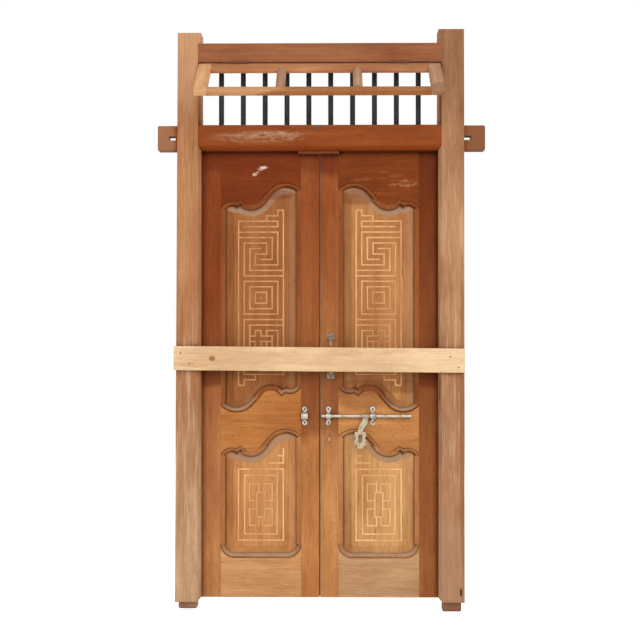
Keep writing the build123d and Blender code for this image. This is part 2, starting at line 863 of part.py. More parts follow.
def upper_fret_face():
    """The upper fret's drawn lines."""
    left, right = panel_left + fret_margin, panel_right - fret_margin
    top = upper_spring + fret_over_spring
    column = (right - left) / fret_columns
    row = 2 * (top - upper_middle) / fret_rows
    strokes = []
    for path in upper_fret_paths():
        strokes += fret_bars([(left + c * column, top - r * row) for c, r in path], fret_line)
    return Sketch() + strokes


def lower_fret_face():
    """The lower fret: two frames round a core with four brackets, and a riser on the right."""
    left, right = panel_left + fret_margin, panel_right - fret_margin
    low = lower_bottom + lower_fret_bottom
    high = low + lower_fret_height
    mid_x, mid_z = (left + right) / 2, (low + high) / 2
    paths = [loop(left, low, right, high)]
    paths.append(loop(*(left + lower_fret_border, low + lower_fret_border,
                        right - lower_fret_border, high - lower_fret_border)))
    core_x, core_z = lower_fret_core_width / 2, lower_fret_core_height / 2
    paths.append(loop(mid_x - core_x, mid_z - core_z, mid_x + core_x, mid_z + core_z))
    arm_x = (right - left) / 2 - lower_fret_bracket
    for side in (-1, 1):
        for end in (-1, 1):
            inner_z = mid_z + end * lower_fret_notch
            paths.append((
                (mid_x + side * core_x, inner_z), (mid_x + side * arm_x, inner_z),
                (mid_x + side * arm_x, mid_z + end * lower_fret_arm_rise),
                (mid_x + side * core_x / 2, mid_z + end * lower_fret_arm_rise),
                (mid_x + side * core_x / 2, mid_z + end * core_z),
            ))
    rise = high + lower_fret_border
    paths.append(((right, rise), (right, rise + lower_fret_riser)))
    paths.append(((right, rise), (right - lower_fret_riser, rise)))
    dash = rise + lower_fret_riser / 2
    paths.append(((right, dash), (right - lower_fret_dash, dash)))
    strokes = []
    for path in paths:
        strokes += fret_bars(path, fret_line)
    return Sketch() + strokes


def fret(face):
    """Fret lines seated in the field and standing a little proud of it."""
    return slab(face, field_face - fret_proud, field_face + fret_seat)


def meeting_stile():
    """The meeting stile, its edge planed back towards the front so that both leaves clear."""
    outline = Polyline(
        (meeting_edge, leaf_front), (leaf_inner - meeting_bevel, leaf_front),
        (leaf_inner, leaf_back), (meeting_edge, leaf_back), close=True,
    )
    return extrude(Plane.XY.offset(leaf_bottom) * make_face(outline), amount=leaf_top - leaf_bottom)


def leaf_pieces():
    """The left leaf, piece by piece."""
    recess = at_hinge_levels(leaf_hinge_plate(1))
    uppers = panel(upper_opening, upper_field)
    lowers = panel(lower_opening, lower_field)
    upper_lines, lower_lines = fret(upper_fret_face()), fret(lower_fret_face())
    hanging = block(leaf_outer, stile_edge, leaf_front, leaf_back, leaf_bottom, leaf_top)
    meeting = meeting_stile()
    pieces = {}
    for name, rail in zip(("bottom_rail", "lock_rail", "top_rail"), leaf_rails()):
        left, right = rail_tenons(rail)
        pieces[name] = rail - uppers - lowers + left + right
        hanging -= left
        meeting -= right
    pieces["hanging_stile"] = hanging - uppers - lowers - recess
    pieces["meeting_stile"] = meeting - uppers - lowers
    pieces["upper_panel"] = uppers - upper_lines
    pieces["lower_panel"] = lowers - lower_lines
    head = scroll_zone(upper_spring)
    foot = head.rotate(Axis((panel_middle, upper_middle, 0), (0, 0, 1)), 180)
    pieces["upper_moulding"] = moulding(upper_opening, (head, foot))
    lower_ends = (scroll_zone(lower_spring), foot_zone(lower_bottom, lower_corner_radius))
    pieces["lower_moulding"] = moulding(lower_opening, lower_ends)
    pieces["upper_fret"] = upper_lines
    pieces["lower_fret"] = lower_lines
    pieces["hinge_leaf_flaps"] = leaf_hinge_flaps()
    return pieces


# Ironwork on the leaves

def bolt_strap(x, width, bore_radius):
    """A cast strap with a bored bridge over the bolt and two round screw lobes."""
    rim = bore_radius + strap_wall
    lobes = Sketch()
    for end in (-1, 1):
        lobes += Pos(x, bolt_z + end * strap_lobe_offset) * Circle(strap_lobe_radius)
    lobes += Pos(x, bolt_z) * Rectangle(strap_neck_width, 2 * strap_lobe_offset)
    plate = slab(lobes, leaf_front - strap_plate, leaf_front)
    bridge = rod_along("x", (x, bolt_y, bolt_z), rim, width)
    bridge += block(x - width / 2, x + width / 2, bolt_y, leaf_front, bolt_z - rim, bolt_z + rim)
    return plate + bridge - rod_along("x", (x, bolt_y, bolt_z), bore_radius, 2 * width)


def bolt_rod():
    """The bolt, drawn back, with a collar on each side of the hasp's eye."""
    start = bolt_travel - bolt_reach
    rod = rod_along("x", (start + bolt_length / 2, bolt_y, bolt_z), bolt_radius, bolt_length)
    rod = chamfer(rod.edges(), bolt_end_chamfer)
    for side in (-1, 1):
        x = bolt_travel + hasp_offset + side * (hasp_eye_length / 2 + hasp_play + bolt_collar_width / 2)
        rod += rod_along("x", (x, bolt_y, bolt_z), bolt_collar_radius, bolt_collar_width)
    return rod


def hasp_neck(eye_x, body_x, foot_z):
    """The outline of the hasp's stepped neck, from its eye down into its plate."""
    reach = hasp_neck_width / 2
    left_x, left_z = hasp_neck_left_bend
    right_x, right_z = hasp_neck_right_bend
    left_foot, right_foot = (body_x - reach, foot_z), (body_x + reach, foot_z)
    left_eye, right_eye = (eye_x - reach, bolt_z), (eye_x + reach, bolt_z)
    left_bend = (left_eye[0] - left_x, bolt_z - left_z)
    right_bend = (right_eye[0] - right_x, bolt_z - right_z)
    return make_face(Curve() + [
        Spline(left_eye, left_bend, left_foot, tangents=((0, -1), (0, -1))),
        Line(left_foot, right_foot),
        Spline(right_foot, right_bend, right_eye, tangents=((0, 1), (0, 1))),
        Line(right_eye, left_eye),
    ])


def hasp():
    """The hasp: an eye round the bolt, a stepped neck and a nicked plate with a long slot."""
    eye_x = bolt_travel + hasp_offset
    body_x = eye_x - hasp_side_step
    top = bolt_z - hasp_shoulder_drop
    half = hasp_body_width / 2
    body = Pos(body_x, top - hasp_body_height / 2) * Rectangle(hasp_body_width, hasp_body_height)
    body = fillet(body.vertices(), hasp_corner_radius)
    for side in (-1, 1):
        body -= Pos(body_x + side * half, top - hasp_nick_drop) * Circle(hasp_nick_radius)
    tip = Pos(body_x, top - hasp_body_height) * Rectangle(hasp_tip_width, 2 * hasp_tip_drop)
    body += fillet(tip.vertices(), hasp_tip_radius)
    body += hasp_neck(eye_x, body_x, top - hasp_neck_sunk)
    slot = Pos(body_x, bolt_z - hasp_slot_drop) * Rot(0, 0, 90) * SlotOverall(hasp_slot_height, hasp_slot_width)
    plate = slab(body - slot, bolt_y - hasp_thick / 2, bolt_y + hasp_thick / 2)
    plate += rod_along("x", (eye_x, bolt_y, bolt_z), hasp_eye_radius, hasp_eye_length)
    plate -= rod_along("x", (eye_x, bolt_y, bolt_z), bolt_radius + running_clearance, 2 * hasp_eye_length)
    return plate.rotate(Axis((eye_x, bolt_y, bolt_z), (-1, 0, 0)), hasp_tilt)


def staple():
    """A bent wire staple for the hasp, its legs driven into the meeting stile."""
    x = hasp_offset - hasp_side_step
    z = bolt_z - hasp_slot_drop
    crown = leaf_front - staple_proud + staple_wire
    half = staple_span / 2
    seat = leaf_front + staple_seat
    points = ((x, seat, z - half), (x, crown, z - half), (x, crown, z + half), (x, seat, z + half))
    path = FilletPolyline(*points, radius=staple_bend)
    return sweep(Plane(points[0], z_dir=(0, -1, 0)) * Circle(staple_wire), path=path)


def pull_handle():
    """A bent bar handle on two square plates."""
    low = shoulder + handle_bottom + handle_plate / 2
    high = shoulder + handle_top - handle_plate / 2
    grip = leaf_front - handle_stand_off
    points = (
        (handle_offset, leaf_front - handle_plate_thick / 2, low), (handle_offset, grip, low),
        (handle_offset, grip, high), (handle_offset, leaf_front - handle_plate_thick / 2, high),
    )
    bar = sweep(
        Plane(points[0], z_dir=(0, -1, 0)) * Circle(handle_bar_radius),
        path=FilletPolyline(*points, radius=handle_bend),
    )
    half = handle_plate / 2
    for z in (low, high):
        plate = block(handle_offset - half, handle_offset + half,
                      leaf_front - handle_plate_thick, leaf_front, z - half, z + half)
        front = plate.faces().sort_by(Axis.Y)[0]
        bar += chamfer(front.edges(), handle_plate_chamfer)
    return bar


def door_pieces():
    """Both leaves with their ironwork."""
    leaf = leaf_pieces()
    loop_staple = staple()
    pieces = {"left_" + name: piece for name, piece in leaf.items()}
    pieces.update({"right_" + name: mirrored(piece) for name, piece in leaf.items()})
    pieces["right_meeting_stile"] -= loop_staple
    pieces["staple"] = loop_staple
    pieces["bolt_keeper"] = bolt_strap(-keeper_offset, keeper_width, bolt_radius + keeper_clearance)
    for name, x in (("inner_bolt_strap", inner_strap_offset), ("outer_bolt_strap", outer_strap_offset)):
        pieces[name] = bolt_strap(x, strap_width, bolt_radius + running_clearance)
    pieces["bolt_rod"] = bolt_rod()
    pieces["hasp"] = hasp()
    pieces["pull_handle"] = pull_handle()
    return pieces


def write_pieces(pieces):
    """One file for each piece."""
    os.makedirs("parts", exist_ok=True)
    for name, piece in pieces.items():
        export_step(piece, os.path.join("parts", name + ".step"))


write_pieces({**frame_pieces(), **sash_pieces(), **door_pieces()})
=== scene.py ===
"""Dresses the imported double-leaf door: aged timber, let-in fret lines, ironwork, studio light and camera."""
import json
import logging
import math
from dataclasses import dataclass, replace
from enum import Enum

import bmesh
import bpy
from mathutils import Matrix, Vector


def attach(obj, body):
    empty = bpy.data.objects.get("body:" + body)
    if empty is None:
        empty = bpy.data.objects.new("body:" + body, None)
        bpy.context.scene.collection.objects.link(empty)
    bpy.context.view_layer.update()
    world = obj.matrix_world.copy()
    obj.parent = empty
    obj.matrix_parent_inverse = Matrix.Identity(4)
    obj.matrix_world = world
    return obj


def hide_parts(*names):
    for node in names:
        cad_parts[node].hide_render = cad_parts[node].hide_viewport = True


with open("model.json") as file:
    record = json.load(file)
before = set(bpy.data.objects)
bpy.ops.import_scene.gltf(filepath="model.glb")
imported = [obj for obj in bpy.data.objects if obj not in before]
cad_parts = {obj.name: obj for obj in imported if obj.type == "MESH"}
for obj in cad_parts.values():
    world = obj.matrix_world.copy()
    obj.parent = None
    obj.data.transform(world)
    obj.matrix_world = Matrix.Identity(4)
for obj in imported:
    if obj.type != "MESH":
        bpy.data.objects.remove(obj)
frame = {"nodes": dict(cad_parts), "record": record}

logging.basicConfig(level=logging.INFO, format="%(name)s: %(message)s")
log = logging.getLogger("door")

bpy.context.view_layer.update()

Colour = tuple[float, float, float]
Point = tuple[float, float, float]
Socket = bpy.types.NodeSocket
Piece = bpy.types.Object


def srgb(red: int, green: int, blue: int) -> Colour:
    """Turns a colour written as 0 to 255 into Blender's linear values.

    Args:
        red: red, 0 to 255.
        green: green, 0 to 255.
        blue: blue, 0 to 255.

    Returns:
        The linear colour.
    """
    def linear(value: int) -> float:
        """One channel made linear."""
        part = value / 255
        return part / 12.92 if part <= 0.04045 else ((part + 0.055) / 1.055) ** 2.4

    return linear(red), linear(green), linear(blue)


def even(red: int, green: int, blue: int) -> tuple[Colour, Colour]:
    """Gives the same colour twice, for a timber that doesn't change with height."""
    return srgb(red, green, blue), srgb(red, green, blue)


class Grain(Enum):
    """The way a piece's grain runs, as a turn in degrees that brings it upright."""

    UPRIGHT = (0.0, 0.0, 0.0)
    LEVEL = (0.0, 90.0, 0.0)
    SLOPING = (53.0, 0.0, 0.0)


# Node helpers and shader groups, then the finishes


class Tree:
    """A node tree with short calls for adding and joining nodes."""

    def __init__(self, tree: bpy.types.NodeTree) -> None:
        """Keeps the tree that nodes are added to."""
        self.tree = tree

    def add(self, kind: str, inputs: dict | None = None, **settings: object) -> bpy.types.Node:
        """Adds a node.

        Args:
            kind: the node's Blender type.
            inputs: socket name or number to a value or to another node's output.
            settings: the node's own properties.

        Returns:
            The new node.
        """
        node = self.tree.nodes.new(kind)
        for name, value in settings.items():
            setattr(node, name, value)
        for key, value in (inputs or {}).items():
            self.put(node.inputs[key], value)
        return node

    def put(self, socket: Socket, value: object) -> None:
        """Joins an output to a socket, or sets the socket's own value.

        Args:
            socket: the input socket.
            value: an output socket, a number, a vector or a colour.
        """
        if isinstance(value, Socket):
            self.tree.links.new(value, socket)
        elif socket.type == "RGBA" and len(value) == 3:
            socket.default_value = (*value, 1.0)
        else:
            socket.default_value = value

    def maths(self, operation: str, *values: object, clamp: bool = False) -> Socket:
        """Adds a Math node.

        Args:
            operation: the Math node's operation.
            values: its inputs in order.
            clamp: whether the result is kept between 0 and 1.

        Returns:
            The result's socket.
        """
        node = self.add("ShaderNodeMath", dict(enumerate(values)), operation=operation, use_clamp=clamp)
        return node.outputs[0]

    def times(self, first: object, second: object) -> Socket:
        """Multiplies two values."""
        return self.maths("MULTIPLY", first, second)

    def mix(self, factor: object, first: object, second: object, blend: str = "MIX") -> Socket:
        """Mixes two colours.

        Args:
            factor: how much of the second.
            first: the first colour.
            second: the second colour.
            blend: the way of mixing.

        Returns:
            The mixed colour's socket.
        """
        node = self.add("ShaderNodeMix", data_type="RGBA", blend_type=blend, clamp_factor=True)
        for socket, value in zip((node.inputs[0], node.inputs[6], node.inputs[7]), (factor, first, second)):
            self.put(socket, value)
        return node.outputs[2]

    def tint(self, factor: object, colour: object, tint: Colour) -> Socket:
        """Multiplies a colour by a tint, as far as a factor says.

        Args:
            factor: how much of the tint.
            colour: the colour.
            tint: what it is multiplied by.

        Returns:
            The tinted colour's socket.
        """
        return self.mix(factor, colour, self.mix(1.0, colour, tint, "MULTIPLY"))

    def grey(self, value: object) -> Socket:
        """Makes a number a grey colour."""
        return self.add("ShaderNodeCombineXYZ", {0: value, 1: value, 2: value}).outputs[0]

    def spread(self, value: object, low: float, high: float, out_low: float = 0.0, out_high: float = 1.0) -> Socket:
        """Maps a range of values smoothly to another.

        Args:
            value: the value mapped.
            low: the input's low end.
            high: the input's high end.
            out_low: what the low end becomes.
            out_high: what the high end becomes.

        Returns:
            The mapped value's socket.
        """
        node = self.add("ShaderNodeMapRange", {0: value, 1: low, 2: high, 3: out_low, 4: out_high},
                        interpolation_type="SMOOTHSTEP")
        return node.outputs[0]

    def facing(self, kind: str) -> Socket:
        """Adds the nodes for the way a surface faces, in the piece's own space.

        Args:
            kind: Normal or True Normal, as the Geometry node names them.

        Returns:
            The direction's socket.
        """
        normal = self.add("ShaderNodeNewGeometry").outputs[kind]
        return self.add("ShaderNodeVectorTransform", {0: normal}, vector_type="NORMAL", convert_from="WORLD",
                        convert_to="OBJECT").outputs[0]

    def noise(self, vector: object, scale: float, detail: float = 3.0, roughness: float = 0.55) -> Socket:
        """Adds a noise texture.

        Args:
            vector: where it is read.
            scale: its scale.
            detail: its octaves.
            roughness: how strong the fine octaves are.

        Returns:
            The noise value's socket.
        """
        node = self.add("ShaderNodeTexNoise", {
            "Vector": vector, "Scale": scale, "Detail": detail, "Roughness": roughness,
        })
        return node.outputs[0]

    def stretched(self, vector: object, scale: Point, shift: object = (0.0, 0.0, 0.0),
                  turn: Point = (0.0, 0.0, 0.0)) -> Socket:
        """Scales, turns and shifts a vector.

        Args:
            vector: the vector.
            scale: the scale on each axis.
            shift: the shift, a value or a socket.
            turn: the turn in degrees.

        Returns:
            The new vector's socket.
        """
        node = self.add("ShaderNodeMapping", {
            "Vector": vector, "Location": shift, "Rotation": tuple(math.radians(a) for a in turn), "Scale": scale,
        })
        return node.outputs[0]


def group_tree(name: str, inputs: dict[str, tuple[str, object]], outputs: dict[str, str]) -> bpy.types.NodeTree:
    """Makes an empty shader node group.

    Args:
        name: the group's name.
        inputs: input name to its socket type and default.
        outputs: output name to its socket type.

    Returns:
        The group's tree.
    """
    tree = bpy.data.node_groups.new(name, "ShaderNodeTree")
    for label, (kind, default) in inputs.items():
        socket = tree.interface.new_socket(label, in_out="INPUT", socket_type=kind)
        if default is not None:
            socket.default_value = default
    for label, kind in outputs.items():
        tree.interface.new_socket(label, in_out="OUTPUT", socket_type=kind)
    return tree


NUMBER, VECTOR = "NodeSocketFloat", "NodeSocketVector"


class Effects:
    """Shader groups that several finishes share, each built once."""

    def __init__(self) -> None:
        """Builds the groups."""
        self.timber = self._timber()
        self.edges = self._edges()
        self.dirt_and_shading = self._grime_dust_and_shading()

    @staticmethod
    def _timber() -> bpy.types.NodeTree:
        """Builds long-grained timber.

        Returns:
            A group that gives figure, fibre, blotch, pore and drying-crack masks for grain that runs along Z.
        """
        tree = group_tree("Long Grain", {
            "Vector": (VECTOR, None), "Wander": (NUMBER, 0.03), "Seed": (NUMBER, 0.0),
        }, {"Figure": NUMBER, "Fibre": NUMBER, "Blotch": NUMBER, "Pores": NUMBER, "Cracks": NUMBER, "Specks": NUMBER})
        t = Tree(tree)
        given = t.add("NodeGroupInput")
        shift = t.add("ShaderNodeCombineXYZ", {
            0: given.outputs["Seed"], 1: t.times(given.outputs["Seed"], 1.7),
            2: t.times(given.outputs["Seed"], 3.1),
        }).outputs[0]
        place = t.stretched(given.outputs["Vector"], (1.0, 1.0, 1.0), shift)
        slow = t.stretched(place, (1.0, 1.0, 0.16))
        sway = t.add("ShaderNodeTexNoise", {"Vector": slow, "Scale": 6.0, "Detail": 2.0, "Roughness": 0.5})
        centred = t.add("ShaderNodeVectorMath", {0: sway.outputs["Color"], 1: (0.5, 0.5, 0.5)}, operation="SUBTRACT")
        bend = t.add("ShaderNodeVectorMath", {0: centred.outputs[0], 3: given.outputs["Wander"]}, operation="SCALE")
        bent = t.add("ShaderNodeVectorMath", {0: t.stretched(place, (1.0, 1.0, 0.045)), 1: bend.outputs[0]},
                     operation="ADD").outputs[0]
        broad = t.noise(bent, 30.0, 3.0, 0.55)
        streak = t.noise(bent, 130.0, 4.0, 0.65)
        fine = t.noise(bent, 420.0, 3.0, 0.6)
        figure = t.maths("MULTIPLY_ADD", broad, 0.40,
                         t.maths("MULTIPLY_ADD", streak, 0.40, t.times(fine, 0.35)))
        fibre = t.noise(t.stretched(place, (1.0, 1.0, 0.022)), 620.0, 3.0, 0.6)
        pores = t.spread(t.noise(t.stretched(place, (1.0, 1.0, 0.03)), 760.0, 2.0, 0.5), 0.60, 0.70)
        blotch = t.noise(t.stretched(place, (1.0, 1.0, 0.35)), 8.0, 5.0, 0.62)
        crack = t.noise(t.stretched(place, (1.0, 1.0, 0.03)), 26.0, 2.0, 0.5)
        thin = t.spread(t.maths("ABSOLUTE", t.maths("SUBTRACT", crack, 0.5)), 0.001, 0.008, 1.0, 0.0)
        where = t.spread(t.noise(t.stretched(place, (1.0, 1.0, 0.3)), 6.0, 2.0), 0.55, 0.62)
        dense = t.spread(t.noise(place, 11.0, 2.0), 0.46, 0.60)
        specks = t.spread(t.noise(t.stretched(place, (1.0, 1.0, 0.5)), 170.0, 3.0, 0.6), 0.60, 0.68)
        t.add("NodeGroupOutput", {
            "Figure": figure, "Fibre": fibre, "Blotch": blotch, "Pores": pores,
            "Cracks": t.times(thin, where), "Specks": t.times(specks, dense),
        })
        return tree

    @staticmethod
    def _edges() -> bpy.types.NodeTree:
        """Builds rubbed edges.

        Returns:
            A group that gives a broken mask along outer edges and a softened normal.
        """
        tree = group_tree("Rubbed Edges", {
            "Radius": (NUMBER, 0.003), "Vector": (VECTOR, None),
        }, {"Mask": NUMBER, "Normal": VECTOR})
        t = Tree(tree)
        given = t.add("NodeGroupInput")
        soft = t.add("ShaderNodeBevel", {"Radius": given.outputs["Radius"]}, samples=6)
        flat = t.add("ShaderNodeNewGeometry")
        dot = t.add("ShaderNodeVectorMath", {0: soft.outputs[0], 1: flat.outputs["True Normal"]},
                    operation="DOT_PRODUCT")
        turned = t.maths("SUBTRACT", 1.0, dot.outputs["Value"])
        broken = t.noise(given.outputs["Vector"], 60.0, 4.0, 0.65)
        lifted = t.maths("ADD", t.times(turned, 3.2), t.maths("MULTIPLY_ADD", broken, 0.9, -0.62))
        t.add("NodeGroupOutput", {"Mask": t.spread(lifted, 0.05, 0.55), "Normal": soft.outputs[0]})
        return tree

    @staticmethod
    def _grime_dust_and_shading() -> bpy.types.NodeTree:
        """Builds grime and painted shade in hollows and between parts, dust on what faces up, and painted light and
        shade on the two sides of slight slopes.

        Returns:
            A group that gives grime-and-shade, dust, lit-slope and shaded-slope masks; lit slopes take painted light,
            with dust where they face up, and shaded slopes take painted shade.
        """
        tree = group_tree("Grime and Dust", {
            "Vector": (VECTOR, None), "Reach": (NUMBER, 0.02), "Side Dust": (NUMBER, 0.0),
        }, {"Grime": NUMBER, "Dust": NUMBER, "Lit": NUMBER, "Shaded": NUMBER})
        t = Tree(tree)
        given = t.add("NodeGroupInput")
        # Darkening in hollows and in the joints between parts: painted shade, together with grime
        closed = t.add("ShaderNodeAmbientOcclusion", {"Distance": given.outputs["Reach"]}, samples=8)
        hollow = t.maths("SUBTRACT", 1.0, closed.outputs["AO"])
        patch = t.noise(given.outputs["Vector"], 18.0, 5.0, 0.65)
        grime = t.spread(t.times(hollow, t.maths("MULTIPLY_ADD", patch, 0.9, 0.6)), 0.12, 0.75)
        tight = t.add("ShaderNodeAmbientOcclusion", {"Distance": SEAM_REACH}, samples=12)
        seam = t.spread(tight.outputs["AO"], 0.38, 0.84, 1.0, 0.0)
        grime = t.maths("MAXIMUM", grime, t.times(seam, 0.95))
        facing = t.facing("True Normal")
        axes = t.add("ShaderNodeSeparateXYZ", {0: facing})
        upward = axes.outputs["Z"]
        level = t.spread(upward, 0.25, 0.85)
        broken = t.spread(patch, 0.3, 0.65, 0.35, 1.0)
        # Slopes facing up, and those facing right, are lighter: painted light, with dust on the upward ones
        side_lit = t.times(t.spread(axes.outputs["X"], 0.08, 0.28), given.outputs["Side Dust"])
        lit = t.maths("MAXIMUM", t.spread(upward, 0.06, 0.20), side_lit)
        # Slopes facing left or down are darker: painted shade
        lean = t.add("ShaderNodeVectorMath", {0: facing, 1: (0.94, 0.0, 0.35)}, operation="DOT_PRODUCT")
        turned = t.spread(lean.outputs["Value"], -0.30, -0.05, 1.0, 0.0)
        shaded = t.times(turned, t.maths("SUBTRACT", 1.0, lit))
        t.add("NodeGroupOutput", {
            "Grime": grime, "Dust": t.times(level, broken),
            "Lit": t.times(lit, t.spread(patch, 0.25, 0.6, 0.55, 1.0)), "Shaded": shaded,
        })
        return tree


def clean_material(name: str) -> tuple[bpy.types.Material, Tree]:
    """Makes a material with an empty node tree.

    Args:
        name: the material's name.

    Returns:
        The material and its tree.
    """
    made = bpy.data.materials.new(name)
    made.use_nodes = True
    made.node_tree.nodes.clear()
    return made, Tree(made.node_tree)


DUST = srgb(188, 168, 146)
# Pale colour of painted light, with dust, on slopes facing up or right
SLOPE_DUST_AND_LIGHT = srgb(157, 125, 99)
PALE_WEAR = srgb(204, 158, 116)
# Dark colour of painted shade, with old staining, under the lintel, the batten and the mouldings
STAIN_AND_SHADE = srgb(92, 28, 3)

# What the bare colour is multiplied by
FIGURE_TINTS = ((0.79, 0.72, 0.67), (1.17, 1.21, 1.23))
BLOTCH_TINTS = ((0.87, 0.80, 0.75), (1.12, 1.16, 1.17))
PORE_TINT = (0.55, 0.45, 0.38)
SPECK_TINT = (0.42, 0.32, 0.26)
CRACK_TINT = (0.22, 0.17, 0.14)
SHADED_TINT = (0.58, 0.51, 0.46)
# Painted shade, with grime, in hollows and joints
GRIME_AND_SHADE_TINT = (0.30, 0.24, 0.20)
IRON_GRIME_TINT = (0.18, 0.14, 0.11)

# The figure mask's middle, and how far from it the figure is fully dark or pale
FIGURE_MIDDLE = 0.575
FIGURE_HALF_SPAN = 0.22

WOOD_RELIEF = {"Strength": 0.30, "Distance": 0.0006}
IRON_RELIEF = {"Strength": 0.4, "Distance": 0.0003}
WOOD_SHINE = 0.12

# How far grime with painted shade in hollows, and rubbed edges, reach, in metres
WOOD_GRIME_AND_SHADE_REACH = 0.03
SEAM_REACH = 0.008
IRON_GRIME_REACH = 0.006
IRON_EDGE = 0.0012


@dataclass(frozen=True)
class Timber:
    """An old timber finish whose colour may change with height."""

    name: str
    high: Colour
    low: Colour
    grain: Grain = Grain.UPRIGHT
    low_at: float = 0.2
    high_at: float = 1.7
    worn: Colour = PALE_WEAR
    edge: float = 0.003
    wander: float = 0.03
    contrast: float = 1.0
    wear: float = 0.35
    # How much grime and painted shade darken hollows and joints
    grime: float = 0.8
    dust: float = 0.4
    # How strongly slight slopes take painted light (with dust where they face up) and painted shade, and how much the
    # right-facing ones take painted light
    slope: float = 0.0
    side_dust: float = 0.0
    cracks: float = 0.4
    pores: float = 0.5
    specks: float = 0.65
    roughness: float = 0.70
    seed: float = 0.0
    marks: tuple["Mark", ...] = ()

    def _wood_colour(self, t: Tree, place: Socket, wood: bpy.types.Node) -> tuple[Socket, Socket]:
        """Adds the bare wood's colour.

        Args:
            t: the material's tree.
            place: object coordinates.
            wood: the long grain group's node.

        Returns:
            The colour and the figure that it follows.
        """
        height = t.add("ShaderNodeSeparateXYZ", {0: place}).outputs["Z"]
        fade = t.add("ShaderNodeMapRange", {0: height, 1: self.low_at, 2: self.high_at}).outputs[0]
        colour = t.mix(fade, self.low, self.high)
        half = FIGURE_HALF_SPAN / self.contrast
        figure = t.spread(wood.outputs["Figure"], FIGURE_MIDDLE - half, FIGURE_MIDDLE + half)
        colour = t.mix(1.0, colour, t.mix(figure, *FIGURE_TINTS), "MULTIPLY")
        blotch = t.spread(wood.outputs["Blotch"], 0.32, 0.68)
        colour = t.mix(1.0, colour, t.mix(blotch, *BLOTCH_TINTS), "MULTIPLY")
        fibre = t.spread(wood.outputs["Fibre"], 0.25, 0.75, 0.92, 1.07)
        colour = t.mix(1.0, colour, t.grey(fibre), "MULTIPLY")
        for flaw, strength, tint in (("Pores", self.pores, PORE_TINT), ("Specks", self.specks, SPECK_TINT),
                                     ("Cracks", self.cracks, CRACK_TINT)):
            colour = t.tint(t.times(wood.outputs[flaw], strength), colour, tint)
        return colour, figure

    def material(self, effects: Effects) -> bpy.types.Material:
        """Builds the material.

        Args:
            effects: the shared shader groups.

        Returns:
            The material.
        """
        made, t = clean_material(self.name)
        place = t.add("ShaderNodeTexCoord").outputs["Object"]
        along = t.stretched(place, (1.0, 1.0, 1.0), turn=self.grain.value)
        wood = t.add("ShaderNodeGroup", node_tree=effects.timber)
        for key, value in (("Vector", along), ("Wander", self.wander), ("Seed", self.seed)):
            t.put(wood.inputs[key], value)
        colour, figure = self._wood_colour(t, place, wood)
        rubbed = t.add("ShaderNodeGroup", {"Vector": place}, node_tree=effects.edges)
        rubbed.inputs["Radius"].default_value = self.edge
        colour = t.mix(t.times(rubbed.outputs["Mask"], self.wear), colour, self.worn)
        dirt_and_shading = t.add("ShaderNodeGroup", {"Vector": place, "Reach": WOOD_GRIME_AND_SHADE_REACH}, node_tree=effects.dirt_and_shading)
        dirt_and_shading.inputs["Side Dust"].default_value = self.side_dust
        # Painted light, with dust, on slopes facing up or right, and painted shade on those facing left or down
        if self.slope > 0.0:
            colour = t.mix(t.times(dirt_and_shading.outputs["Lit"], self.slope), colour, SLOPE_DUST_AND_LIGHT)
            colour = t.tint(t.times(dirt_and_shading.outputs["Shaded"], self.slope), colour, SHADED_TINT)
        # Grime with painted shade in hollows and joints
        colour = t.tint(t.times(dirt_and_shading.outputs["Grime"], self.grime), colour, GRIME_AND_SHADE_TINT)
        colour = t.mix(t.times(dirt_and_shading.outputs["Dust"], self.dust), colour, DUST)
        for mark in self.marks:
            colour = t.mix(mark.mask(t, place), colour, mark.colour)
        relief = t.maths("SUBTRACT", t.maths("MULTIPLY_ADD", figure, 0.4, wood.outputs["Fibre"]),
                         t.maths("MULTIPLY_ADD", wood.outputs["Cracks"], self.cracks * 3.0,
                                 t.times(wood.outputs["Pores"], 0.6)))
        bump = t.add("ShaderNodeBump", {**WOOD_RELIEF, "Height": relief, "Normal": rubbed.outputs["Normal"]})
        rough = t.spread(wood.outputs["Fibre"], 0.2, 0.8, self.roughness - 0.07, self.roughness + 0.1)
        shader = t.add("ShaderNodeBsdfPrincipled", {
            "Base Color": colour, "Roughness": rough, "Normal": bump.outputs[0], "Specular IOR Level": WOOD_SHINE,
        })
        t.add("ShaderNodeOutputMaterial", {0: shader.outputs[0]})
        return made


@dataclass(frozen=True)
class Mark:
    """A patch of chalk, paint, stain, bare wood or painted shade inside a soft oval, on the front or on every side."""

    centre: tuple[float, float]
    half: tuple[float, float]
    colour: Colour
    strength: float = 0.8
    scale: float = 60.0
    cover: float = 0.5
    stretch: Point = (1.0, 1.0, 1.0)
    turn: float = 0.0
    ragged: float = 0.8
    all_round: bool = False

    def mask(self, t: Tree, place: Socket) -> Socket:
        """Adds the nodes for the patch's mask.

        Args:
            t: the material's tree.
            place: object coordinates.

        Returns:
            The mask's socket.
        """
        moved = t.stretched(place, (1.0, 1.0, 1.0), (-self.centre[0], 0.0, -self.centre[1]))
        local = t.stretched(moved, (1 / self.half[0], 0.0, 1 / self.half[1]), turn=(0.0, self.turn, 0.0))
        reach = t.add("ShaderNodeVectorMath", {0: local}, operation="LENGTH").outputs["Value"]
        edge = t.noise(t.stretched(place, self.stretch), self.scale, 4.0, 0.6)
        uneven = t.maths("MULTIPLY_ADD", t.maths("SUBTRACT", edge, 0.5), self.ragged, reach)
        inside = t.spread(uneven, 0.7, 1.1, 1.0, 0.0)
        spots = t.spread(edge, 0.76 - self.cover * 0.6, 0.90 - self.cover * 0.6)
        patch = t.times(t.times(inside, spots), self.strength)
        if self.all_round:
            return patch
        forward = t.add("ShaderNodeVectorMath", {0: t.facing("Normal"), 1: (0.0, -1.0, 0.0)}, operation="DOT_PRODUCT")
        return t.times(patch, t.spread(forward.outputs["Value"], 0.1, 0.5))


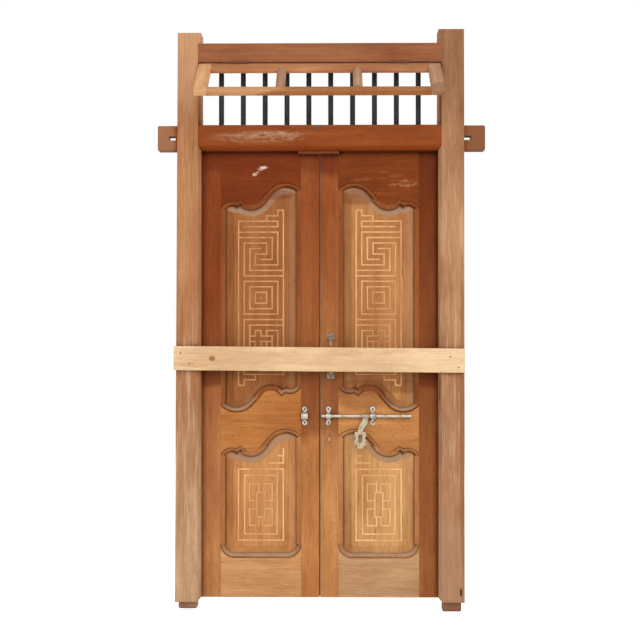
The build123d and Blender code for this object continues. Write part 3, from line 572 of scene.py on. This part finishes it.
def shade_and_stain(across: float, up: float, half_across: float, half_up: float, strength: float) -> Mark:
    """Makes a broad dark patch with uneven edges: painted shade under the lintel, the batten or a moulding, together
    with old staining.

    Args:
        across: its middle, across the door.
        up: its middle's height.
        half_across: half its width.
        half_up: half its height.
        strength: how dark it is, from 0 to 1.

    Returns:
        The mark.
    """
    return Mark((across, up), (half_across, half_up), STAIN_AND_SHADE, strength, scale=14.0, cover=1.0,
                stretch=(1.0, 1.0, 0.4), ragged=0.9)


@dataclass(frozen=True)
class Iron:
    """A worn metal finish with rust and rubbed edges."""

    name: str
    colour: Colour
    rust: Colour
    bright: Colour
    metallic: float = 0.7
    roughness: float = 0.45
    rust_from: float = 0.55
    wear: float = 0.6
    grime: float = 0.7

    def material(self, effects: Effects) -> bpy.types.Material:
        """Builds the material.

        Args:
            effects: the shared shader groups.

        Returns:
            The material.
        """
        made, t = clean_material(self.name)
        place = t.add("ShaderNodeTexCoord").outputs["Object"]
        patch = t.noise(place, 70.0, 6.0, 0.62)
        speck = t.noise(place, 420.0, 4.0, 0.6)
        rusty = t.spread(t.maths("MULTIPLY_ADD", speck, 0.35, patch), self.rust_from + 0.12, self.rust_from + 0.30)
        tone = t.spread(speck, 0.3, 0.7, 0.82, 1.12)
        colour = t.mix(1.0, self.colour, t.grey(tone), "MULTIPLY")
        colour = t.mix(rusty, colour, self.rust)
        rubbed = t.add("ShaderNodeGroup", {"Vector": place, "Radius": IRON_EDGE}, node_tree=effects.edges)
        colour = t.mix(t.times(rubbed.outputs["Mask"], self.wear), colour, self.bright)
        dirt_and_shading = t.add("ShaderNodeGroup", {"Vector": place, "Reach": IRON_GRIME_REACH}, node_tree=effects.dirt_and_shading)
        colour = t.tint(t.times(dirt_and_shading.outputs["Grime"], self.grime), colour, IRON_GRIME_TINT)
        rough = t.maths("ADD", t.spread(speck, 0.2, 0.8, self.roughness - 0.08, self.roughness + 0.12),
                        t.times(rusty, 0.3), clamp=True)
        metal = t.times(t.maths("SUBTRACT", 1.0, rusty), self.metallic)
        pitted = t.maths("MULTIPLY_ADD", rusty, 0.6, speck)
        bump = t.add("ShaderNodeBump", {**IRON_RELIEF, "Height": pitted, "Normal": rubbed.outputs["Normal"]})
        shader = t.add("ShaderNodeBsdfPrincipled", {
            "Base Color": colour, "Metallic": metal, "Roughness": rough, "Normal": bump.outputs[0],
        })
        t.add("ShaderNodeOutputMaterial", {0: shader.outputs[0]})
        return made


# Eased copies of the CAD's pieces, and fastenings


MERGE_WITHIN = 0.00002
FLAT_WITHIN = math.radians(1.0)
ARRIS_TURN = math.radians(32)
MEETING_REACH = 0.004


def merged_copy(node: str, name: str) -> Piece:
    """Copies a CAD node's triangles into a clean mesh of its own.

    Args:
        node: the CAD node's name.
        name: the new piece's name.

    Returns:
        The new object, in the same place.
    """
    shell = bmesh.new()
    shell.from_mesh(frame["nodes"][node].data)
    bmesh.ops.remove_doubles(shell, verts=shell.verts, dist=MERGE_WITHIN)
    bmesh.ops.dissolve_limit(shell, angle_limit=FLAT_WITHIN, verts=shell.verts, edges=shell.edges)
    mesh = bpy.data.meshes.new(name)
    shell.to_mesh(mesh)
    shell.free()
    piece = bpy.data.objects.new(name, mesh)
    bpy.context.scene.collection.objects.link(piece)
    return piece


def baked(piece: Piece) -> Piece:
    """Replaces a piece's modifiers by the plain mesh that they give.

    Args:
        piece: the piece.

    Returns:
        The same piece, without modifiers.
    """
    graph = bpy.context.evaluated_depsgraph_get()
    mesh = bpy.data.meshes.new_from_object(piece.evaluated_get(graph))
    piece.modifiers.clear()
    piece.data = mesh
    return piece


def eased(node: str, width: float, sharp: float = 34.0, closed: float = 0.0) -> Piece:
    """Makes a copy of a CAD node with its arrises rounded, to stand for it.

    Args:
        node: the CAD node's name.
        width: how far the arrises are rounded, in metres.
        sharp: the turn in degrees past which two faces meet in a hard line.
        closed: how far the edge at the leaves' meeting line is drawn towards it, in metres.

    Returns:
        The new piece.
    """
    piece = merged_copy(node, f"eased_{node}")
    if closed > 0.0:
        for vertex in piece.data.vertices:
            if abs(vertex.co.x) < MEETING_REACH:
                vertex.co.x -= math.copysign(closed, vertex.co.x)
    bevel = piece.modifiers.new("arris", "BEVEL")
    bevel.width = width
    bevel.segments = 2
    bevel.limit_method = "ANGLE"
    bevel.angle_limit = ARRIS_TURN
    bevel.use_clamp_overlap = True
    baked(piece)
    for face in piece.data.polygons:
        face.use_smooth = True
    piece.data.set_sharp_from_angle(angle=math.radians(sharp))
    return piece


class Head(Enum):
    """A fastening's head, as its flatness and whether it has a driver's slot."""

    NAIL = (0.22, False)
    SCREW = (0.42, True)


class Fastenings:
    """A Geometry Nodes tree that sets one head on every point it is given.

    The slot's sizes are shares of the head's radius.
    """

    segments: int = 24
    rings: int = 12
    slot_length: float = 2.4
    slot_width: float = 0.26
    slot_lift: float = 0.30

    def __init__(self) -> None:
        """Builds the tree."""
        self.tree = bpy.data.node_groups.new("Fastening Heads", "GeometryNodeTree")
        face = self.tree.interface
        face.new_socket("Geometry", in_out="INPUT", socket_type="NodeSocketGeometry")
        self.sockets = {
            label: face.new_socket(label, in_out="INPUT", socket_type=kind).identifier
            for label, kind in (("Radius", NUMBER), ("Flatness", NUMBER), ("Slotted", "NodeSocketBool"),
                                ("Material", "NodeSocketMaterial"))
        }
        face.new_socket("Geometry", in_out="OUTPUT", socket_type="NodeSocketGeometry")
        self._fill(Tree(self.tree))

    def _fill(self, t: Tree) -> None:
        """Adds the nodes.

        Args:
            t: the empty tree.
        """
        given = t.add("NodeGroupInput")
        radius, flatness = given.outputs["Radius"], given.outputs["Flatness"]
        ball = t.add("GeometryNodeMeshUVSphere", {"Segments": self.segments, "Rings": self.rings, "Radius": radius})
        squash = t.add("ShaderNodeCombineXYZ", {0: 1.0, 1: 1.0, 2: flatness})
        dome = t.add("GeometryNodeTransform", {"Geometry": ball.outputs["Mesh"], "Scale": squash.outputs[0]})
        size = t.add("ShaderNodeCombineXYZ", {
            0: t.times(radius, self.slot_length), 1: t.times(radius, self.slot_width),
            2: radius,
        })
        height = t.times(radius, t.maths("ADD", flatness, self.slot_lift))
        lift = t.add("ShaderNodeCombineXYZ", {2: height})
        cutter = t.add("GeometryNodeTransform", {
            "Geometry": t.add("GeometryNodeMeshCube", {"Size": size.outputs[0]}).outputs["Mesh"],
            "Translation": lift.outputs[0],
        })
        cut = t.add("GeometryNodeMeshBoolean", {0: dome.outputs[0], 1: cutter.outputs[0]}, operation="DIFFERENCE")
        head = t.add("GeometryNodeSwitch", {0: given.outputs["Slotted"], 1: dome.outputs[0], 2: cut.outputs[0]},
                     input_type="GEOMETRY")
        forward = t.add("GeometryNodeTransform", {"Geometry": head.outputs[0], "Rotation": (math.pi / 2, 0.0, 0.0)})
        turn = t.add("FunctionNodeRandomValue", {0: (0.0, 0.0, 0.0), 1: (0.0, math.pi, 0.0)},
                     data_type="FLOAT_VECTOR")
        each = t.add("GeometryNodeInstanceOnPoints", {
            "Points": given.outputs["Geometry"], "Instance": forward.outputs[0], "Rotation": turn.outputs[0],
        })
        solid = t.add("GeometryNodeRealizeInstances", {"Geometry": each.outputs[0]})
        done = t.add("GeometryNodeSetMaterial", {"Geometry": solid.outputs[0], "Material": given.outputs["Material"]})
        t.add("NodeGroupOutput", {"Geometry": done.outputs[0]})

    def heads(self, name: str, places: list[Point], radius: float, head: Head, material: bpy.types.Material) -> Piece:
        """Makes a row of heads as one plain mesh.

        Args:
            name: the new piece's name.
            places: the heads' middles, on the surface that they stand in.
            radius: their radius in metres.
            head: their shape.
            material: their finish.

        Returns:
            The new piece.
        """
        mesh = bpy.data.meshes.new(name)
        mesh.from_pydata(places, [], [])
        piece = bpy.data.objects.new(name, mesh)
        bpy.context.scene.collection.objects.link(piece)
        nodes = piece.modifiers.new("heads", "NODES")
        nodes.node_group = self.tree
        flatness, slotted = head.value
        for label, value in (("Radius", radius), ("Flatness", flatness), ("Slotted", slotted), ("Material", material)):
            nodes[self.sockets[label]] = value
        return baked(piece)


class Workshop:
    """What the sub-assemblies share: effects, finished materials and the body of each node."""

    def __init__(self) -> None:
        """Builds the shared groups."""
        self.effects = Effects()
        self.fastenings = Fastenings()
        self.made: dict[str, bpy.types.Material] = {}
        self.slots = {part["node"]: part["material_slot"] for part in frame["record"]["subparts"]}
        bodies = frame["record"]["behaviour"]["bodies"]
        self.body = {node: body for body, nodes in bodies.items() for node in nodes}

    def finish(self, finish: Timber | Iron) -> bpy.types.Material:
        """Builds a finish once and keeps it.

        Args:
            finish: the finish.

        Returns:
            Its material.
        """
        if finish.name not in self.made:
            self.made[finish.name] = finish.material(self.effects)
        return self.made[finish.name]

    def put(self, node: str, finish: Timber | Iron) -> None:
        """Finishes a CAD node and reports it.

        Args:
            node: the CAD node's name.
            finish: its finish.
        """
        materials = frame["nodes"][node].data.materials
        materials.clear()
        materials.append(self.finish(finish))
        log.info("dressed %s with %s", node, finish.name)

    def ease(self, node: str, finish: Timber | Iron, width: float, sharp: float = 34.0, closed: float = 0.0) -> None:
        """Replaces a CAD node by its eased copy.

        Args:
            node: the CAD node's name.
            finish: the copy's finish.
            width: how far the arrises are rounded.
            sharp: the turn in degrees past which two faces meet in a hard line.
            closed: how far the meeting edge is drawn towards the other leaf.
        """
        piece = eased(node, width, sharp, closed)
        piece.data.materials.clear()
        piece.data.materials.append(self.finish(finish))
        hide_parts(node)
        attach(piece, self.body[node])
        log.info("eased %s with %s", node, finish.name)

    def fasten(self, name: str, node: str, places: list[Point], finish: Iron, radius: float, head: Head) -> None:
        """Sets nail or screw heads in a CAD node.

        Args:
            name: the heads' name.
            node: the CAD node that they stand in.
            places: the heads' middles.
            finish: their finish.
            radius: their radius in metres.
            head: their shape.
        """
        piece = self.fastenings.heads(name, places, radius, head, self.finish(finish))
        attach(piece, self.body[node])
        log.info("fastened %s with %d %s", node, len(places), name)


# Sub-assemblies


LEFT_POST = Timber(
    "left post wood", srgb(168, 117, 79), srgb(197, 163, 128), low_at=0.05, high_at=0.95, contrast=1.1, wear=0.45,
    dust=0.3, cracks=0.9, seed=3.0,
    marks=(Mark((-0.53, 2.22), (0.10, 0.22), srgb(206, 166, 130), 0.28, 12.0, 0.85, (1.0, 1.0, 0.25), all_round=True),
           Mark((-0.53, 0.70), (0.09, 0.60), srgb(210, 176, 142), 0.40, 60.0, 0.45, (1.0, 1.0, 0.06), all_round=True),
           Mark((-0.53, 0.0), (0.9, 0.045), srgb(128, 84, 58), 0.55, 30.0, 1.0, all_round=True)),
)
RIGHT_POST = Timber(
    "right post wood", srgb(142, 99, 70), srgb(169, 124, 89), low_at=1.55, high_at=2.1, contrast=1.2, wear=0.45,
    dust=0.3, cracks=0.95, seed=11.0,
    marks=(Mark((0.53, 0.16), (0.09, 0.26), srgb(194, 160, 128), 0.28, 12.0, 0.85, (1.0, 1.0, 0.25), all_round=True),
           Mark((0.53, 1.10), (0.09, 0.80), srgb(204, 168, 134), 0.40, 60.0, 0.45, (1.0, 1.0, 0.06), all_round=True),
           Mark((0.563, 0.082), (0.005, 0.020), srgb(40, 22, 12), 0.9, 40.0, 1.0, turn=14.0),
           Mark((0.570, 0.72), (0.013, 0.62), srgb(142, 86, 54), 0.65, 30.0, 0.85, (1.0, 1.0, 0.2)),
           Mark((0.53, 0.0), (0.9, 0.045), srgb(116, 70, 46), 0.60, 30.0, 1.0, all_round=True)),
)
LINTEL_WOOD = Timber(
    "lintel wood", srgb(140, 71, 29), srgb(132, 60, 17), Grain.LEVEL, low_at=1.85, high_at=1.88,
    worn=srgb(186, 124, 82), wander=0.05, dust=0.3, seed=5.0,
    marks=(
        Mark((-0.24, 1.900), (0.20, 0.026), srgb(190, 150, 122), 0.42, 44.0, 0.52, (0.45, 1.0, 1.5), turn=6.0),
        Mark((-0.18, 1.912), (0.15, 0.014), srgb(204, 174, 148), 0.34, 60.0, 0.52, (0.40, 1.0, 1.4), turn=-4.0),
        Mark((-0.26, 1.898), (0.20, 0.030), srgb(178, 126, 92), 0.15, 16.0, 0.60),
        Mark((-0.62, 1.897), (0.045, 0.09), srgb(152, 108, 78), 0.75, 20.0, 1.0, all_round=True),
        Mark((0.63, 1.897), (0.050, 0.09), srgb(124, 83, 54), 0.78, 20.0, 1.0, all_round=True),
    ),
)
HEAD_WOOD = Timber(
    "head rail wood", *even(139, 86, 55), Grain.LEVEL, worn=srgb(190, 132, 92), wander=0.05, dust=0.3, cracks=0.6,
    seed=8.0,
)
STOP_WOOD = Timber("stop block wood", *even(112, 56, 28), Grain.LEVEL, seed=2.0)
SASH_RAIL_WOOD = Timber(
    "sash rail wood", srgb(170, 113, 73), srgb(153, 95, 53), Grain.LEVEL, low_at=2.06, high_at=2.10,
    worn=srgb(210, 160, 116), wear=0.4, dust=0.12, seed=14.0,
    marks=(Mark((-0.31, 2.065), (0.19, 0.045), srgb(218, 162, 114), 0.55, 30.0, 0.9, (0.3, 1.0, 1.0)),),
)
SASH_STILE_WOOD = Timber(
    "sash stile wood", *even(172, 130, 98), Grain.SLOPING, worn=srgb(212, 168, 128), wear=0.4, dust=0.2, seed=17.0,
    marks=(Mark((0.475, 2.05), (0.05, 0.045), srgb(128, 78, 48), 0.55, 30.0, 1.0),),
)
SASH_PALE_STILE = replace(SASH_STILE_WOOD, name="sash pale stile wood", high=srgb(208, 156, 110),
                          low=srgb(208, 156, 110), worn=srgb(224, 182, 140), dust=0.1, seed=19.0, marks=())
BATTEN_PINE = Timber(
    "batten pine", *even(219, 185, 146), Grain.LEVEL, worn=srgb(240, 212, 174), wander=0.05, contrast=0.4, wear=0.2,
    grime=0.4, dust=0.0, cracks=0.2, specks=0.15, seed=21.0,
    marks=(Mark((-0.428, 1.012), (0.014, 0.011), srgb(150, 96, 54), 0.9, 30.0, 1.0),
           Mark((-0.50, 0.985), (0.07, 0.010), srgb(196, 150, 108), 0.6, 30.0, 0.6, (0.3, 1.0, 1.0))),
)
BAR_IRON = Iron(
    "bar iron", srgb(17, 13, 11), srgb(31, 20, 14), srgb(56, 45, 38), metallic=0.1, roughness=0.6, rust_from=0.50,
)
HINGE_IRON = Iron("hinge iron", srgb(78, 62, 50), srgb(110, 66, 38), srgb(140, 118, 96), metallic=0.5,
                  roughness=0.55, rust_from=0.35)
GREY_IRON = Iron("grey iron", srgb(186, 178, 164), srgb(128, 96, 66), srgb(226, 220, 208), metallic=0.6,
                 roughness=0.42, rust_from=0.56)
HANDLE_IRON = replace(GREY_IRON, name="handle iron", colour=srgb(152, 140, 118), bright=srgb(204, 194, 174),
                      rust_from=0.50)
HASP_METAL = Iron("hasp metal", srgb(158, 145, 118), srgb(104, 82, 56), srgb(204, 192, 164), metallic=0.5,
                  roughness=0.48, rust_from=0.60)
CATCH_IRON = Iron("catch iron", srgb(92, 80, 68), srgb(118, 76, 46), srgb(150, 132, 110), metallic=0.5,
                  roughness=0.5, rust_from=0.40)


@dataclass
class DoorFrame:
    """The posts, lintel, head rail, bars and batten."""

    shop: Workshop
    arris: float = 0.0018
    batten_arris: float = 0.0010
    nail_radius: float = 0.0032
    batten_front: float = -0.022
    batten_nails: tuple[tuple[float, float], ...] = (
        (-0.553, 1.034), (-0.520, 0.992), (0.520, 1.020), (0.552, 0.978),
    )

    def build(self) -> None:
        """Eases and finishes the frame's pieces."""
        for node, finish in (("left_post", LEFT_POST), ("right_post", RIGHT_POST), ("lintel", LINTEL_WOOD),
                             ("head_rail", HEAD_WOOD), ("head_stop_block", STOP_WOOD)):
            self.shop.ease(node, finish, self.arris)
        self.shop.ease("brace_batten", BATTEN_PINE, self.batten_arris)
        self.shop.put("transom_bars", BAR_IRON)
        self.shop.put("sash_catch", CATCH_IRON)
        for node in ("left_hinge_post_flaps", "right_hinge_post_flaps", "left_hinge_pins", "right_hinge_pins",
                     "sash_hinge_rail_flaps", "sash_hinge_pins"):
            self.shop.put(node, HINGE_IRON)
        places = [(x, self.batten_front, z) for x, z in self.batten_nails]
        self.shop.fasten("batten_nails", "brace_batten", places, CATCH_IRON, self.nail_radius, Head.NAIL)


@dataclass
class TransomSash:
    """The top-hung sash, propped open."""

    shop: Workshop
    arris: float = 0.0014

    def build(self) -> None:
        """Eases and finishes the sash."""
        for node in ("sash_top_rail", "sash_bottom_rail"):
            self.shop.ease(node, SASH_RAIL_WOOD, self.arris)
        self.shop.ease("sash_left_stile", SASH_PALE_STILE, self.arris)
        for node in ("sash_right_stile", "sash_left_mullion", "sash_right_mullion"):
            self.shop.ease(node, SASH_STILE_WOOD, self.arris)
        self.shop.put("sash_hinge_flaps", HINGE_IRON)


MEETING_SHADE = Mark((0.0, 0.50), (0.0031, 1.00), srgb(30, 15, 8), 0.95, 30.0, 1.0, (1.0, 1.0, 0.2), ragged=0.3)


@dataclass
class Leaf:
    """One panelled leaf."""

    shop: Workshop
    side: str
    tones: dict[str, tuple[Colour, Colour]]
    marks: dict[str, tuple[Mark, ...]]
    seed: float
    arris: float = 0.0012
    meeting_arris: float = 0.0007
    meeting_close: float = 0.00034
    panel_arris: float = 0.0003
    panel_sharp: float = 8.0
    # How strongly panel and moulding slopes take painted light and shade, and how much each panel's right-facing slopes
    # take painted light
    slope_dust_and_shading: float = 0.85
    side_dust: tuple[tuple[str, float], ...] = (("upper", 0.45), ("lower", 0.20))
    seed_step: float = 2.7
    high_at: float = 1.45
    hanging_high_at: float = 1.45
    moulding_arris: float = 0.0007

    def _wood(self, piece: str, grain: Grain, **settings: object) -> Timber:
        """Gives one member its own timber.

        Args:
            piece: the member's name.
            grain: how its grain runs.
            settings: what differs from a leaf's usual timber.

        Returns:
            The finish.
        """
        self.seed += self.seed_step
        high, low = self.tones[piece]
        usual = {"grain": grain, "high_at": self.high_at, "seed": self.seed, "marks": self.marks.get(piece, ())}
        usual.update(settings)
        return Timber(f"{self.side} {piece}".replace("_", " "), high, low, **usual)

    def build(self) -> None:
        """Eases and finishes the leaf's pieces."""
        hanging = self._wood("hanging_stile", Grain.UPRIGHT, high_at=self.hanging_high_at)
        self.shop.ease(f"{self.side}_hanging_stile", hanging, self.arris)
        meeting = self._wood("meeting_stile", Grain.UPRIGHT)
        meeting = replace(meeting, marks=(*meeting.marks, MEETING_SHADE))
        self.shop.ease(f"{self.side}_meeting_stile", meeting, self.meeting_arris, closed=self.meeting_close)
        for piece in ("top_rail", "lock_rail", "bottom_rail"):
            self.shop.ease(f"{self.side}_{piece}", self._wood(piece, Grain.LEVEL, wander=0.06), self.arris)
        for level, side_dust in self.side_dust:
            panel = self._wood(f"{level}_panel", Grain.UPRIGHT, slope=self.slope_dust_and_shading, side_dust=side_dust, edge=0.0006,
                               wander=0.04, wear=0.15)
            self.shop.ease(f"{self.side}_{level}_panel", panel, self.panel_arris, self.panel_sharp)
            moulding = self._wood(f"{level}_moulding", Grain.UPRIGHT, slope=self.slope_dust_and_shading, grime=0.95, wear=0.2,
                                  cracks=0.0)
            self.shop.ease(f"{self.side}_{level}_moulding", moulding, self.moulding_arris)
            lines = self._wood(f"{level}_fret", Grain.UPRIGHT, edge=0.0005, wear=0.0, grime=0.0, dust=0.0, cracks=0.0)
            self.shop.put(f"{self.side}_{level}_fret", lines)
        self.shop.put(f"{self.side}_hinge_leaf_flaps", HINGE_IRON)


@dataclass
class Ironwork:
    """The bolt, its straps, the hasp, the staple and the pull handle."""

    shop: Workshop
    bolt_height: float = 0.780
    strap_front: float = 0.0470
    lobe_reach: float = 0.027
    keeper_at: tuple[float, ...] = (-0.0605,)
    straps_at: tuple[float, ...] = (0.035, 0.2135)
    screw_radius: float = 0.0042
    handle_screw_radius: float = 0.0024
    handle_offset: float = 0.044
    handle_plates: tuple[float, float] = (0.9455, 1.0975)
    handle_front: float = 0.0465
    handle_reach: float = 0.0105

    def _lobes(self, places: tuple[float, ...]) -> list[Point]:
        """The middles of the lobes of straps at these places."""
        return [(x, self.strap_front, self.bolt_height + end * self.lobe_reach) for x in places for end in (-1, 1)]

    def build(self) -> None:
        """Finishes the ironwork and puts in its screws."""
        for node in ("bolt_keeper", "inner_bolt_strap", "outer_bolt_strap", "bolt_rod", "staple"):
            self.shop.put(node, GREY_IRON)
        self.shop.put("pull_handle", HANDLE_IRON)
        self.shop.put("hasp", HASP_METAL)
        for name, node, places in (("keeper_screws", "bolt_keeper", self.keeper_at),
                                   ("strap_screws", "inner_bolt_strap", self.straps_at)):
            self.shop.fasten(name, node, self._lobes(places), CATCH_IRON, self.screw_radius, Head.SCREW)
        corners = [
            (self.handle_offset + across * self.handle_reach, self.handle_front, z + up * self.handle_reach)
            for z in self.handle_plates for across in (-1, 1) for up in (-1, 1)
        ]
        self.shop.fasten("handle_screws", "pull_handle", corners, CATCH_IRON, self.handle_screw_radius, Head.SCREW)


@dataclass
class Studio:
    """The camera, the soft lights and the pale floor and backdrop."""

    eye: Point = (0.0647, -4.8274, 1.1135)
    yaw: float = -0.01307
    pitch: float = 0.01085
    field_of_view: float = 29.658
    floor_half: float = 7.0
    floor_height: float = -0.0005
    floor_glow: float = 0.62
    sky_light: float = 0.48

    def build(self) -> None:
        """Sets up everything round the door."""
        self._camera()
        self._world()
        self._floor()
        self._lamp("key", (1.5, -5.2, 4.2), (0.0, 0.0, 1.1), size=4.6, power=250.0)
        self._lamp("fill", (-3.6, -4.0, 1.8), (0.0, 0.0, 1.0), size=3.4, power=70.0)
        self._lamp("back", (0.5, 4.6, 3.4), (0.0, 0.0, 1.2), size=3.2, power=130.0)
        bpy.context.scene.view_settings.view_transform = "Standard"

    def _camera(self) -> None:
        """Places the camera where the photograph's was."""
        data = bpy.data.cameras.new("camera")
        data.sensor_width = 36.0
        data.lens = 18.0 / math.tan(math.radians(self.field_of_view / 2))
        data.dof.use_dof = False
        camera = bpy.data.objects.new("camera", data)
        camera.location = self.eye
        camera.rotation_euler = (math.pi / 2 + self.pitch, 0.0, -self.yaw)
        bpy.context.scene.collection.objects.link(camera)
        bpy.context.scene.camera = camera

    @staticmethod
    def _lamp(name: str, place: Point, target: Point, size: float, power: float) -> None:
        """Adds a soft square lamp.

        Args:
            name: the lamp's name.
            place: where it stands.
            target: the point it faces.
            size: its side in metres.
            power: its power in watts.
        """
        data = bpy.data.lights.new(name, "AREA")
        data.size = size
        data.energy = power
        lamp = bpy.data.objects.new(name, data)
        lamp.location = place
        lamp.rotation_euler = (Vector(target) - Vector(place)).to_track_quat("-Z", "Y").to_euler()
        bpy.context.scene.collection.objects.link(lamp)

    @staticmethod
    def _seen(t: Tree) -> Socket:
        """Tells whether a ray comes from the camera, a reflection or glass.

        Args:
            t: the tree that the nodes go into.

        Returns:
            A socket that is 1 for such a ray.
        """
        path = t.add("ShaderNodeLightPath")
        first = t.maths("MAXIMUM", path.outputs["Is Camera Ray"], path.outputs["Is Glossy Ray"])
        return t.maths("MAXIMUM", first, path.outputs["Is Transmission Ray"])

    def _world(self) -> None:
        """Makes a world that lights softly and is seen white."""
        world = bpy.data.worlds.new("studio")
        world.use_nodes = True
        world.node_tree.nodes.clear()
        t = Tree(world.node_tree)
        strength = t.spread(self._seen(t), 0.0, 1.0, self.sky_light, 1.0)
        light = t.add("ShaderNodeBackground", {"Color": (1.0, 1.0, 1.0), "Strength": strength})
        t.add("ShaderNodeOutputWorld", {0: light.outputs[0]})
        bpy.context.scene.world = world

    def _floor(self) -> None:
        """Lays the pale floor under the longer foot."""
        half = self.floor_half
        square = ((-half, -half), (half, -half), (half, half), (-half, half))
        mesh = bpy.data.meshes.new("floor")
        mesh.from_pydata([(x, y, self.floor_height) for x, y in square], [], [(0, 1, 2, 3)])
        floor = bpy.data.objects.new("floor", mesh)
        bpy.context.scene.collection.objects.link(floor)
        made, t = clean_material("pale floor")
        matt = t.add("ShaderNodeBsdfDiffuse", {"Color": (0.86, 0.86, 0.85)})
        strength = t.times(self._seen(t), self.floor_glow)
        glow = t.add("ShaderNodeEmission", {"Color": (1.0, 1.0, 1.0), "Strength": strength})
        both = t.add("ShaderNodeAddShader", {0: matt.outputs[0], 1: glow.outputs[0]})
        t.add("ShaderNodeOutputMaterial", {0: both.outputs[0]})
        mesh.materials.append(made)


# Each member's colour at the top and at the foot; the darker tops hold painted shade under the lintel as well as the
# wood's own darker tone
LEFT_TONES = {
    "hanging_stile": (srgb(127, 60, 23), srgb(184, 124, 77)),
    "meeting_stile": (srgb(136, 71, 33), srgb(186, 124, 72)),
    "top_rail": even(116, 50, 13),
    "lock_rail": even(177, 114, 60),
    "bottom_rail": even(197, 146, 97),
    "upper_panel": (srgb(149, 94, 52), srgb(158, 102, 59)),
    "upper_moulding": (srgb(131, 69, 31), srgb(156, 93, 50)),
    "upper_fret": even(190, 134, 88),
    "lower_panel": even(189, 131, 80),
    "lower_moulding": even(170, 112, 67),
    "lower_fret": even(220, 169, 115),
}
# The dark patches are painted shade under the lintel, under the batten and under the head moulding's crest, together
# with old staining
LEFT_MARKS = {
    "hanging_stile": (shade_and_stain(-0.44, 1.865, 0.20, 0.11, 0.55), shade_and_stain(-0.44, 0.945, 0.20, 0.050, 0.50)),
    "meeting_stile": (shade_and_stain(-0.04, 1.865, 0.20, 0.10, 0.40), shade_and_stain(-0.04, 0.835, 0.20, 0.16, 0.52)),
    "upper_panel": (shade_and_stain(-0.175, 1.672, 0.07, 0.024, 0.42),),
    "top_rail": (
        Mark((-0.227, 1.783), (0.017, 0.006), srgb(212, 188, 170), 0.85, 90.0, 0.80, turn=-24.0, ragged=2.6),
        Mark((-0.238, 1.775), (0.013, 0.005), srgb(196, 160, 136), 0.75, 120.0, 0.75, turn=-8.0, ragged=2.6),
        Mark((-0.252, 1.764), (0.008, 0.004), srgb(190, 150, 126), 0.70, 120.0, 0.75, ragged=2.2),
        Mark((-0.262, 1.755), (0.011, 0.007), srgb(204, 172, 146), 0.80, 90.0, 0.85, ragged=2.2),
    ),
}
# Each member's colour at the top and at the foot; the darker tops hold painted shade under the lintel as well as the
# wood's own darker tone
RIGHT_TONES = {
    "hanging_stile": (srgb(102, 44, 9), srgb(153, 94, 51)),
    "meeting_stile": (srgb(136, 71, 31), srgb(195, 137, 84)),
    "top_rail": even(118, 55, 14),
    "lock_rail": even(189, 129, 75),
    "bottom_rail": even(187, 145, 105),
    "upper_panel": (srgb(169, 116, 69), srgb(177, 123, 75)),
    "upper_moulding": (srgb(132, 71, 32), srgb(156, 94, 51)),
    "upper_fret": even(206, 153, 103),
    "lower_panel": even(193, 141, 89),
    "lower_moulding": even(174, 117, 72),
    "lower_fret": even(225, 178, 125),
}
# The dark patches are painted shade under the lintel, under the batten and under the head moulding's crest, together
# with old staining
RIGHT_MARKS = {
    "hanging_stile": (shade_and_stain(0.42, 0.945, 0.20, 0.055, 0.50),),
    "meeting_stile": (shade_and_stain(0.04, 1.865, 0.20, 0.12, 0.66), shade_and_stain(0.04, 0.835, 0.20, 0.14, 0.48)),
    "lock_rail": (shade_and_stain(0.22, 0.880, 0.22, 0.080, 0.44),),
    "upper_panel": (shade_and_stain(0.165, 1.664, 0.085, 0.036, 0.40), shade_and_stain(0.24, 0.90, 0.22, 0.035, 0.36)),
    "upper_moulding": (shade_and_stain(0.24, 0.875, 0.22, 0.060, 0.44),),
    "top_rail": (
        Mark((0.335, 1.718), (0.070, 0.020), srgb(176, 124, 88), 0.40, 60.0, 0.50, (0.5, 1.0, 1.3)),
        Mark((0.24, 1.72), (0.16, 0.06), srgb(168, 100, 56), 0.28, 50.0, 0.42, (0.25, 1.0, 1.6)),
    ),
}


def main() -> None:
    """Builds the studio and every sub-assembly in order."""
    Studio().build()
    shop = Workshop()
    DoorFrame(shop).build()
    TransomSash(shop).build()
    Leaf(shop, "left", LEFT_TONES, LEFT_MARKS, seed=20.0, hanging_high_at=1.25).build()
    Leaf(shop, "right", RIGHT_TONES, RIGHT_MARKS, seed=60.0, high_at=1.62, hanging_high_at=1.62).build()
    Ironwork(shop).build()


if __name__ == "__main__":
    main()
